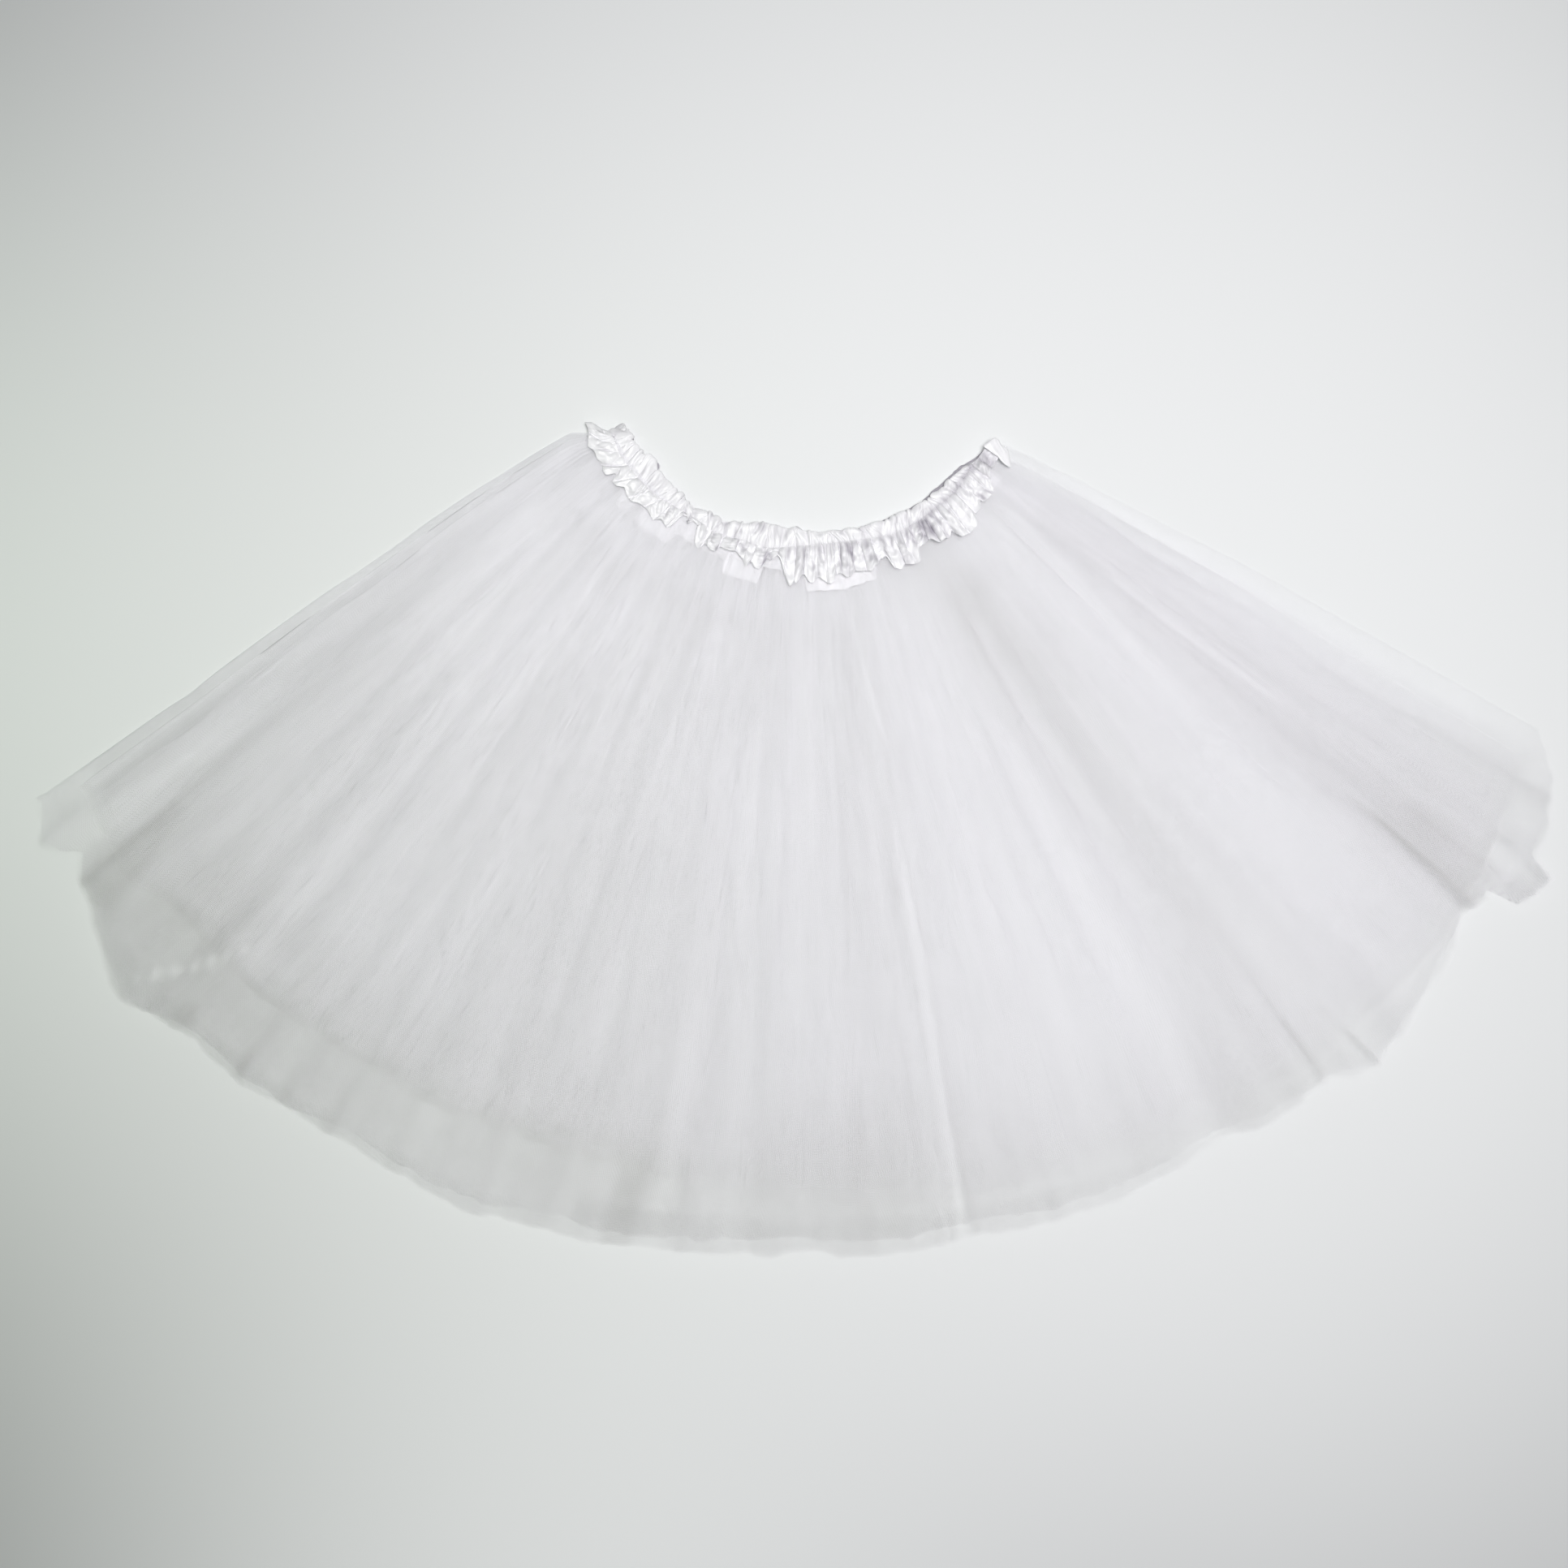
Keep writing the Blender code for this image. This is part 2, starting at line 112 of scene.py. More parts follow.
def depthAt(radius):
    # 0 at the waist and 1 at the hem
    return (radius - fan["waistRadius"]) / (fan["hemRadius"] - fan["waistRadius"])


def bandLine(name, angle):
    angles, radii = np.array(bandLines[name]).T
    return np.interp(angle, angles, radii)


def toWorld(radius, angle, height):
    turn = np.radians(angle)
    x = fan["centre"][0] + radius * np.sin(turn)
    y = fan["centre"][1] - radius * np.cos(turn)
    return np.stack([x, y, height + 0.0 * x], axis=-1)


def fromWorld(points):
    aside = points[..., 0] - fan["centre"][0]
    down = fan["centre"][1] - points[..., 1]
    return np.degrees(np.arctan2(aside, down)), np.hypot(aside, down)


def smoothStep(low, high, value):
    t = np.clip((value - low) / (high - low), 0.0, 1.0)
    return t * t * (3.0 - 2.0 * t)


def wander(position, step, seed):
    # smooth random values from -1 to 1, one every step
    values = np.random.default_rng(seed).uniform(-1.0, 1.0, 4096)
    place = np.asarray(position, float) / step + 7.0
    index = np.floor(place).astype(int)
    part = place - index
    part = part * part * (3.0 - 2.0 * part)
    return values[index % 4096] * (1.0 - part) + values[(index + 1) % 4096] * part


def wanders(position, rows):
    # several of them together: amount, step and seed of each
    return sum(amount * wander(position, step, seed) for amount, step, seed in rows)


def patches(angle, radius, stepAngle, stepRadius, seed):
    # smooth random values from -1 to 1 over the fan, longer along the folds than across
    values = np.random.default_rng(seed).uniform(-1.0, 1.0, (256, 64))
    a, r = angle / stepAngle + 120.0, radius / stepRadius + 3.0
    i, j = np.floor(a).astype(int), np.floor(r).astype(int)
    p, q = a - i, r - j
    p, q = p * p * (3.0 - 2.0 * p), q * q * (3.0 - 2.0 * q)
    low = values[i % 256, j % 64] * (1 - p) + values[(i + 1) % 256, j % 64] * p
    high = values[i % 256, (j + 1) % 64] * (1 - p) + values[(i + 1) % 256, (j + 1) % 64] * p
    return low * (1 - q) + high * q


def besideLine(line, angle, radius):
    # share of the way down a listed line, distance aside of it, and its half width there
    startAngle, startRadius, startHalf, endAngle, endRadius, endHalf = line
    t = (radius - startRadius) / (endRadius - startRadius)
    aside = np.radians(angle - startAngle - (endAngle - startAngle) * t) * radius
    half = startHalf + (endHalf - startHalf) * np.clip(t, 0.0, 1.0)
    return t, aside, half


def clothGrid(name, columns, rows):
    # a flat grid of columns by rows cells, whose points are then laid by number
    mesh = bpy.data.meshes.new(name)
    grid = bmesh.new()
    bmesh.ops.create_grid(grid, x_segments=columns, y_segments=rows, size=1.0)
    grid.to_mesh(mesh)
    grid.free()
    flat = np.empty(len(mesh.vertices) * 3)
    mesh.vertices.foreach_get("co", flat)
    flat = flat.reshape(-1, 3)
    column = np.rint((flat[:, 0] + 1.0) / 2.0 * columns).astype(int)
    row = np.rint((flat[:, 1] + 1.0) / 2.0 * rows).astype(int)
    return mesh, column, row


def layGrid(mesh, column, row, points, weave, **attributes):
    # points[row, column] are the places, weave the cloth's own length and depth at each, in metres
    points[..., 2] = np.maximum(points[..., 2], fan["lowest"])
    mesh.vertices.foreach_set("co", points[row, column].ravel())
    corners = np.empty(len(mesh.loops), dtype=np.int32)
    mesh.loops.foreach_get("vertex_index", corners)
    layer = mesh.uv_layers.new(name="weave")
    layer.data.foreach_set("uv", np.stack([weave[0][corners], weave[1][corners]], axis=-1).ravel())
    for name, values in attributes.items():
        layer = mesh.attributes.new(name, "FLOAT", "POINT")
        layer.data.foreach_set("value", np.clip(values, 0.0, 1.0)[row, column].astype(np.float32))
    mesh.update()


def addPiece(mesh, material):
    mesh.shade_smooth()
    piece = bpy.data.objects.new(mesh.name, mesh)
    bpy.context.scene.collection.objects.link(piece)
    piece.data.materials.append(material)
    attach(piece, "root")
    print("made", piece.name, len(mesh.polygons), "faces")
    return piece


def finishCloth(mesh, material, replaced):
    # joins the two ends of the ring and turns its outer face outwards
    shape = bmesh.new()
    shape.from_mesh(mesh)
    bmesh.ops.remove_doubles(shape, verts=shape.verts, dist=1e-6)
    bmesh.ops.recalc_face_normals(shape, faces=shape.faces)
    highest = sorted(shape.faces, key=lambda face: -face.calc_center_median().z)[:400]
    if sum(face.normal.z for face in highest) < 0:
        bmesh.ops.reverse_faces(shape, faces=shape.faces)
    shape.to_mesh(mesh)
    shape.free()
    piece = addPiece(mesh, material)
    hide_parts(replaced)
    return piece


def rayTree(mesh):
    shape = bmesh.new()
    shape.from_mesh(mesh)
    tree = BVHTree.FromBMesh(shape)
    shape.free()
    return tree


def hitHeight(tree, spot, start, down):
    # where a ray from this height, going down (-1) or up (1), meets the mesh
    hit = tree.ray_cast(Vector((spot[0], spot[1], start)), Vector((0, 0, down)))[0]
    return None if hit is None else hit.z


# How the heights of the cloth are read from the frame's own walls.
walls = {
    "radii": np.linspace(0.126, 0.530, 26),
    "shares": np.linspace(-0.01, 1.01, 260),
    "halfThickness": 0.0005,
    "smoothing": (1.0, 2.0, 3.0, 2.0, 1.0),
    "beyond": 0.2,  # height above and below from which the rays start
}


def wallHeights(nodeName):
    # height of the middle of a tulle wall over the fan: front wall, then back wall
    tree = rayTree(bpy.data.objects[nodeName].data)
    radii, shares = walls["radii"], walls["shares"]
    kernel = np.array(walls["smoothing"]) / sum(walls["smoothing"])
    aside = len(kernel) // 2
    heights = []
    for down in (-1.0, 1.0):
        table = np.full((len(radii), len(shares)), np.nan)
        for i, radius in enumerate(radii):
            for j, spot in enumerate(toWorld(radius, angleAt(shares, radius), 0.0)):
                height = hitHeight(tree, spot, -down * walls["beyond"], down)
                if height is not None:
                    table[i, j] = height + down * walls["halfThickness"]
            known = ~np.isnan(table[i])
            if known.any():
                table[i] = np.interp(shares, shares[known], table[i][known])
            elif i:
                table[i] = table[i - 1]
        padded = np.pad(table, ((0, 0), (aside, aside)), mode="edge")
        heights.append(sum(part * padded[:, k:k + len(shares)] for k, part in enumerate(kernel)))

    def heightAt(side, across, radius):
        i = np.clip((radius - radii[0]) / (radii[1] - radii[0]), 0.0, len(radii) - 1.001)
        j = np.clip((across - shares[0]) / (shares[1] - shares[0]), 0.0, len(shares) - 1.001)
        i0, j0 = np.floor(i).astype(int), np.floor(j).astype(int)
        fi, fj = i - i0, j - j0
        table = heights[side]
        low = table[i0, j0] * (1 - fj) + table[i0, j0 + 1] * fj
        high = table[i0 + 1, j0] * (1 - fj) + table[i0 + 1, j0 + 1] * fj
        return low * (1 - fi) + high * fi

    return heightAt


tulle = {
    "netCell": 0.0010,
    "coverage": 0.28,  # share of a single net that is thread
    "fullest": 1.3,
    "slack": 1.05,  # how much longer than its folded arc the cloth is taken to be
    "squeeze": (0.45, 1.5),
    "netsOver": (0.12, 3.2),  # fewest and most nets that lie over each other
    "streaks": ((0.30, 1.7, 0.070), (0.22, 4.2, 0.150), (0.14, 0.45, 0.065)),  # amount, degrees, length
    "calmerLeft": (0.35, -52.0, -30.0),  # the streaks are this much weaker left of these angles
    "rightEnd": (0.55, 0.955),  # how much thinner the cloth gets from this share of the fan
    "underBand": (0.18, 0.142, 0.172),  # how much thinner it is near the band, between these radii
    "startsBelow": 0.0006,
    "gathers": 44,
    "gatherDrift": (1.8, 0.03),
    "gatherHeight": 0.00022,
    "gatherRadii": (0.128, 0.200),  # radii over which the fine gathers from the band spread out
    "sideTurn": 7,
    "scattered": (22, 0.06, 0.60),
    "scatteredBehind": (24, 0.10, 0.62),
    "fadeAmount": 0.5,  # how much thinner a hem's edge is
    "fadeLess": 0.0,  # and how much less so right of these angles
    "fadeAngles": (46.0, 50.0),
    "hemWaves": ((0.0016, 0.012), (0.0008, 0.004)),
    "hemLift": 0.0010,
    "liftedFrom": 0.86,
    "backShorter": 0.007,
    "depth": 0.36,
    # shade painted along the hems of the inner layers: how far in from the hem, its least share, and how
    # much less it is right of the second angles
    "hemShadeDepth": 0.0045,
    "hemShadeLeast": 0.15,
    "hemShadeAngles": ((-50.0, -47.0), (-14.0, -10.0)),  # where the shade painted along inner hems begins and ceases
    "hemShadeLess": 0.7,
    "weaveDrift": ((0.0011, 0.011), (0.0005, 0.004)),
    # colour of the painted shade, as a share of each layer's own colour
    "shaded": (0.555, 0.555, 0.525),
}

# Main folds of the outer layer's front: angle near the waist and at the hem, half width
# near the waist and at the hem, overlap (from 0.6 the cloth lies over itself, below 0 it is spread),
# lift, radius where it begins and radius where it has faded.
frontFolds = (
    (-62.5, -58.6, 0.0024, 0.007, 0.12, 0.0006, 0.12, 0.6),
    (-61.0, -56.6, 0.0024, 0.007, 0.16, 0.0006, 0.18, 0.6),
    (-56.5, -54.9, 0.001, 0.0075, -0.55, 0.0, 0.37, 0.6),
    (-55.0, -52.8, 0.0026, 0.008, 0.34, 0.0007, 0.34, 0.6),
    (-52.0, -50.9, 0.0025, 0.007, 0.22, 0.0006, 0.42, 0.6),
    (-49.0, -46.0, 0.005, 0.012, -0.25, 0.0004, 0.16, 0.32),
    (-46.4, -44.6, 0.0026, 0.0075, 0.07, 0.0004, 0.12, 0.4),
    (-39.9, -42.4, 0.003, 0.007, 0.26, 0.0006, 0.485, 0.6),
    (-40.2, -39.2, 0.003, 0.007, -0.3, 0.0003, 0.22, 0.34),
    (-37.0, -37.6, 0.002, 0.0036, 0.34, 0.0007, 0.47, 0.6),
    (-36.5, -35.4, 0.0032, 0.008, 0.1, 0.0004, 0.17, 0.45),
    (-33.8, -34.6, 0.002, 0.006, 0.24, 0.0005, 0.48, 0.6),
    (-31.0, -31.3, 0.0022, 0.006, 0.14, 0.0005, 0.46, 0.6),
    (-27.4, -29.8, 0.0018, 0.003, 0.46, 0.0006, 0.35, 0.49),
    (-25.6, -25.0, 0.0026, 0.007, 0.16, 0.0004, 0.18, 0.36),
    (-20.2, -21.0, 0.003, 0.0065, 0.14, 0.0004, 0.13, 0.6),
    (-15.8, -17.0, 0.003, 0.006, -0.22, 0.0004, 0.24, 0.44),
    (-11.9, -12.1, 0.004, 0.011, 0.24, 0.0005, 0.48, 0.6),
    (-9.8, -9.4, 0.002, 0.007, -0.26, 0.0002, 0.36, 0.6),
    (-7.0, -8.4, 0.003, 0.006, -0.3, 0.0004, 0.22, 0.36),
    (-3.2, 2.0, 0.0028, 0.007, -0.22, 0.0004, 0.13, 0.36),
    (3.9, 2.4, 0.0022, 0.004, 0.32, 0.0005, 0.14, 0.4),
    (7.2, 7.9, 0.002, 0.0052, 0.15, 0.0003, 0.13, 0.6),
    (9.8, 9.6, 0.0014, 0.003, -0.5, 0.0008, 0.26, 0.6),
    (12.6, 4.4, 0.0026, 0.0045, 0.24, 0.0005, 0.16, 0.36),
    (15.8, 15.2, 0.003, 0.006, 0.14, 0.0003, 0.13, 0.6),
    (20.2, 20.8, 0.003, 0.007, 0.16, 0.0004, 0.16, 0.5),
    (25.9, 26.2, 0.003, 0.011, -0.32, 0.0006, 0.22, 0.6),
    (28.2, 28.9, 0.0026, 0.005, 0.16, 0.0004, 0.13, 0.44),
    (33.6, 34.3, 0.0024, 0.0048, 0.28, 0.0005, 0.4, 0.6),
    (36.6, 37.4, 0.002, 0.0036, 0.72, 0.0009, 0.47, 0.6),
    (38.8, 40.0, 0.003, 0.0065, 0.14, 0.0004, 0.14, 0.6),
    (47.6, 42.6, 0.0022, 0.006, -0.35, 0.0004, 0.14, 0.34),
    (48.6, 48.8, 0.002, 0.006, 0.5, 0.0009, 0.39, 0.6),
    (50.6, 51.4, 0.0014, 0.0036, -0.45, 0.0006, 0.2, 0.34),
    (52.8, 53.6, 0.0022, 0.005, 0.24, 0.0005, 0.13, 0.6),
    (56.2, 57.4, 0.0022, 0.005, 0.22, 0.0005, 0.14, 0.6),
    (58.6, 59.8, 0.002, 0.0044, 0.16, 0.0003, 0.13, 0.6),
)

# Where the cloth is denser or thinner along a line: from angle, radius and half width
# to angle, radius and half width, and by how much.
thinner = (
    (-57.6, 0.47, 0.012, -57.0, 0.513, 0.02, -0.72),
    (-55.5, 0.4, 0.0012, -55.1, 0.5, 0.008, -0.62),
    (-40.6, 0.385, 0.0016, -42.0, 0.436, 0.0085, -0.36),
    (-42.1, 0.464, 0.0019, -46.4, 0.524, 0.0021, -1.0),
    (-40.1, 0.245, 0.006, -39.6, 0.315, 0.002, -0.35),
    (-58.0, 0.15, 0.008, -50.0, 0.27, 0.026, -0.34),
    (9.8, 0.3, 0.0013, 9.6, 0.505, 0.0019, -0.95),
    (26.0, 0.255, 0.003, 26.4, 0.5, 0.007, -0.35),
    (-9.6, 0.4, 0.003, -9.4, 0.485, 0.0045, -0.26),
    (8.0, 0.165, 0.0011, 10.4, 0.235, 0.0013, -0.7),
    (47.6, 0.15, 0.002, 44.6, 0.285, 0.003, -0.4),
    (50.2, 0.215, 0.0013, 51.4, 0.33, 0.0017, -0.7),
    (50.1, 0.484, 0.006, 50.4, 0.512, 0.012, -0.5),
    (52.7, 0.474, 0.007, 53.0, 0.512, 0.012, -0.45),
    (55.6, 0.472, 0.006, 55.9, 0.5, 0.01, -0.45),
    (58.8, 0.47, 0.008, 59.0, 0.486, 0.01, -0.5),
    (60.6, 0.15, 0.006, 61.2, 0.48, 0.012, -0.6),
    (-52.4, 0.45, 0.005, -51.6, 0.508, 0.013, 0.34),
    (-12.1, 0.48, 0.006, -12.1, 0.524, 0.009, 0.22),
    (-42.3, 0.505, 0.005, -42.3, 0.52, 0.006, 0.28),
    (-37.6, 0.5, 0.003, -37.6, 0.52, 0.004, 0.24),
    (-28.0, 0.37, 0.0015, -29.4, 0.475, 0.0018, 0.6),
    (-8.6, 0.308, 0.0014, -5.3, 0.38, 0.0017, 0.6),
    (13.2, 0.225, 0.0022, 7.6, 0.335, 0.0022, 0.45),
    (21.8, 0.16, 0.002, 33.4, 0.395, 0.0034, 0.3),
    (48.9, 0.4, 0.002, 48.7, 0.486, 0.004, 0.6),
    (34.2, 0.462, 0.0022, 34.5, 0.502, 0.0028, 0.4),
    (37.3, 0.49, 0.0024, 37.5, 0.516, 0.0028, 0.7),
    (-19.4, 0.165, 0.004, -19.8, 0.19, 0.01, 0.35),
)

# Painted shade on small pleats at the hem and on tight folds, in the same columns.
paintedPleatShade = (
    (-12.1, 0.47, 0.006, -12.1, 0.524, 0.0095, 0.22),
    (-52.6, 0.44, 0.005, -51.4, 0.506, 0.016, 0.3),
    (-42.3, 0.508, 0.005, -42.3, 0.522, 0.009, 0.22),
    (-37.6, 0.504, 0.0026, -37.6, 0.522, 0.005, 0.22),
    (-34.6, 0.506, 0.004, -34.6, 0.52, 0.007, 0.18),
    (-31.3, 0.508, 0.004, -31.3, 0.52, 0.007, 0.14),
    (-26.4, 0.512, 0.004, -26.4, 0.524, 0.007, 0.2),
    (49.4, 0.41, 0.003, 48.9, 0.486, 0.008, 0.3),
    (51.0, 0.425, 0.008, 51.3, 0.48, 0.02, 0.25),
    (34.2, 0.462, 0.002, 34.5, 0.502, 0.0026, 0.24),
    (37.3, 0.492, 0.0022, 37.5, 0.516, 0.0026, 0.3),
)

# How much cloth is bunched sideways, by angle.
bunched = {
    "angles": (-62, -56, -50, -42, -30, -15, 0, 20, 36, 46, 50, 62),
    "amount": (0.8, 1.0, 1.2, 1.15, 1.05, 0.9, 0.7, 0.5, 0.5, 0.48, 0.9, 0.5),
}

# Shade painted on the outer layer, by angle: near the waist, over the inner layers, and beyond their
# hems.
paintedTulleShade = {
    "overRadii": (0.146, 0.172),
    "beyondRadii": (0.41, 0.475),
    "hemRadii": (0.492, 0.52),
    "hemLess": 0.12,
    "angles": (-62, -59, -55, -51, -47, -39, -31, -27, -23, -15, -7, -3, 1, 5, 9, 13, 25, 33, 37, 41,
               45, 49, 53, 57, 60, 62),
    "near": (0.0, 0.0, 0.02, 0.0, 0.0, 0.0, 0.12, 0.14, 0.14, 0.1, 0.12, 0.04, 0.04, 0.0, 0.26, 0.14,
             0.34, 0.04, 0.0, 0.06, 0.22, 0.1, 0.12, 0.06, 0.02, 0.0),
    "over": (0.25, 0.37, 0.48, 0.42, 0.45, 0.32, 0.36, 0.4, 0.51, 0.51, 0.46, 0.3, 0.34, 0.42, 0.45,
             0.23, 0.26, 0.68, 0.47, 0.24, 0.19, 0.38, 0.27, 0.15, 0.02, 0.0),
    "beyond": (0.26, 0.38, 0.62, 0.52, 0.68, 0.65, 0.6, 0.63, 0.56, 0.65, 0.56, 0.65, 0.67, 0.83, 0.67,
               0.6, 0.51, 0.65, 0.53, 0.38, 0.36, 0.3, 0.28, 0.28, 0.26, 0.26),
}

# Soft patches of painted shade on it, lighter where the amount is below 0: angle, radius, half sizes
# across (degrees) and along, amount.
paintedShadePlaces = (
    (-20.0, 0.445, 8.0, 0.04, 0.12),
    (4.0, 0.448, 6.0, 0.035, 0.16),
    (-46.0, 0.45, 6.0, 0.03, 0.16),
    (-54.5, 0.43, 2.6, 0.04, 0.22),
    (-57.0, 0.185, 7.0, 0.035, -0.2),
    (-52.0, 0.22, 7.0, 0.07, -0.25),
    (-43.0, 0.23, 4.0, 0.07, -0.2),
    (-17.0, 0.24, 9.0, 0.06, -0.14),
    (-9.0, 0.27, 4.5, 0.05, -0.14),
    (15.0, 0.4, 3.5, 0.045, 0.13),
    (29.0, 0.175, 4.5, 0.06, 0.36),
    (29.5, 0.36, 3.0, 0.06, -0.16),
    (52.0, 0.35, 3.6, 0.09, 0.14),
    (51.0, 0.435, 3.6, 0.045, 0.3),
    (56.0, 0.43, 3.0, 0.06, 0.12),
    (-17.0, 0.182, 7.0, 0.022, -0.18),
    (-34.0, 0.195, 4.0, 0.025, -0.22),
    (-11.0, 0.474, 2.2, 0.025, 0.22),
    (-3.0, 0.42, 2.2, 0.05, 0.14),
    (57.0, 0.45, 2.0, 0.07, 0.15),
    (38.0, 0.509, 4.0, 0.01, -0.2),
    (35.0, 0.182, 3.5, 0.022, -0.22),
    (-41.0, 0.462, 3.0, 0.018, -0.18),
)

layers = (
    {
        "name": "tulle_outer_layer",
        "node": "outer_tulle",
        "ends": (0.0, 1.0),
        "columns": (800, 480),
        "rows": 56,
        "seed": 11,
        "cut": (1.2, 2.2, 0.392),
        "colour": (0.95, 0.943, 0.977),
        "scattered": (15, 0.04, 0.17),  # folds: how many, and their least and greatest overlap
        "fade": 0.008,
        "fadeAmount": 0.3,
        "fadeLess": 0.35,
        "hemAngles": (-60, -58.4, -56.4, -55.2, -54.2, -52.9, -51, -45.9, -41, -37, -30.2, -26.1,
                      -20.6, -18.2, -12.8, -7.5, 0, 4.5, 10.2, 15.3, 19.6, 26.7, 29.9, 34.8, 37.6,
                      43.9, 45.6, 48.4, 49.8, 50.4, 50.8, 52.2, 53.4, 53.9, 56.3, 56.9, 58.8, 59.2,
                      61.0, 61.5),
        "hem": (0.499, 0.5022, 0.514, 0.51, 0.5, 0.5085, 0.5125, 0.533, 0.5215, 0.5238, 0.5184, 0.5211,
                0.525, 0.5188, 0.5188, 0.5156, 0.5116, 0.514, 0.5102, 0.5132, 0.5112, 0.5028, 0.5078,
                0.506, 0.5152, 0.5, 0.496, 0.4855, 0.4905, 0.488, 0.506, 0.5095, 0.5125, 0.496, 0.4925,
                0.487, 0.4835, 0.478, 0.461, 0.46),
    },
    {
        "name": "tulle_middle_layer",
        "node": "middle_tulle",
        "ends": (0.008, 0.98),
        "columns": (560, 380),
        "rows": 46,
        "seed": 23,
        "cut": (1.16, 2.06, 0.362),
        "colour": (0.986, 0.981, 1.0),
        # edge: how much shade is painted along this layer's hem
        "edge": 0.55,
        "fade": 0.0045,
        "hemAngles": (-59, -51, -48, -40, -30, -20, -13, -6, 4, 12, 20, 27, 36, 45, 48.6, 53, 61),
        "hem": (0.476, 0.486, 0.478, 0.481, 0.4775, 0.477, 0.474, 0.48, 0.486, 0.489, 0.492, 0.497,
                0.4925, 0.488, 0.484, 0.474, 0.456),
    },
    {
        "name": "tulle_inner_layer",
        "node": "inner_tulle",
        "ends": (0.018, 0.962),
        "columns": (520, 360),
        "rows": 42,
        "seed": 37,
        "cut": (1.12, 1.98, 0.35),
        "colour": (0.986, 0.981, 1.0),
        # edge: how much shade is painted along this layer's hem
        "edge": 0.35,
        "fade": 0.0045,
        "hemAngles": (-59, -51, -38, -20, -10, 0, 12, 24, 36, 45, 53, 61),
        "hem": (0.464, 0.478, 0.47, 0.468, 0.467, 0.47, 0.474, 0.482, 0.482, 0.476, 0.464, 0.446),
    },
)


def randomFolds(seed, count, softest, firmest):
    # laid-over folds of uneven length, with the same columns as frontFolds
    dice = np.random.default_rng(seed)
    folds = []
    for i in range(count):
        angle = -58.0 + 116.0 * (i + 0.5 + dice.uniform(-0.40, 0.40)) / count
        overlap = dice.uniform(softest, firmest)
        half = dice.uniform(0.0016, 0.0032)
        begins = dice.choice([0.12, 0.12, dice.uniform(0.18, 0.36)])
        fades = begins + dice.uniform(0.14, 0.42)
        aside = dice.uniform(-1.6, 1.6)
        wide = half * dice.uniform(1.8, 2.6)
        lift = 0.0002 + 0.0006 * overlap
        folds.append((angle - aside, angle + aside, half, wide, overlap, lift, begins, fades))
    return folds


def foldCloth(across, radius, folds, seed):
    # each fold moves the cloth towards its own line, and over itself where it overlaps
    left = angleAt(0.0, radius)
    right = angleAt(1.0, radius)
    arc = arcLength(radius)
    depth = depthAt(radius)
    shift = np.zeros(np.broadcast(across, radius).shape)
    lift = np.zeros_like(shift)
    for number, (start, end, narrow, wide, overlap, height, begins, fades) in enumerate(folds):
        way = 1.0 if number % 3 else -1.0
        bend = 0.5 * wander(radius, 0.075, seed + 3 * number)
        angle = start + (end - start) * depth + bend
        half = (narrow + (wide - narrow) * depth) / arc
        here = smoothStep(begins - 0.02, begins + 0.05, radius)
        here = here * (1.0 - smoothStep(fades - 0.08, fades, radius))
        t = (across - (angle - left) / (right - left)) / half
        shift -= here * overlap * half * t * np.exp((1.0 - t * t) / 2.0)
        laid = 0.5 * (1.0 + np.tanh(1.6 * way * t)) * np.exp(-(t / 4.0) ** 2)
        lift += here * height * laid
    edges = smoothStep(0.0, 0.010, across) * smoothStep(0.0, 0.010, 1.0 - across)
    return shift * edges, lift * edges


def alongLines(angle, radius, lines):
    # how much denser the cloth is, or how much shade is painted on it, for lying near one of these lines
    denser = np.zeros(np.broadcast(angle, radius).shape)
    for *line, amount in lines:
        t, aside, half = besideLine(line, angle, radius)
        near = 1.0 - smoothStep(0.55, 1.35, np.abs(aside) / half)
        ends = smoothStep(-0.08, 0.06, t) * (1.0 - smoothStep(0.94, 1.08, t))
        denser += amount * near * ends
    return denser


def paintedTulleShadeAt(angle, radius):
    # painted shade on the outer layer at these places, by angle and radius, with its soft patches
    near, over, beyond = (
        np.interp(angle, paintedTulleShade["angles"], paintedTulleShade[name]) for name in ("near", "over", "beyond"))
    over = near + (over - near) * smoothStep(*paintedTulleShade["overRadii"], radius)
    beyond = beyond * (1.0 - paintedTulleShade["hemLess"] * smoothStep(*paintedTulleShade["hemRadii"], radius))
    grey = over + (beyond - over) * smoothStep(*paintedTulleShade["beyondRadii"], radius)
    for placeAngle, placeRadius, across, along, amount in paintedShadePlaces:
        away = ((angle - placeAngle) / across) ** 2 + ((radius - placeRadius) / along) ** 2
        grey += amount * np.exp(-away)
    return grey


def cutWidth(cut, radius):
    # half the width of the flared cut, from waist to hem, at this radius
    return (cut[0] + (cut[1] - cut[0]) * depthAt(radius)) / 2


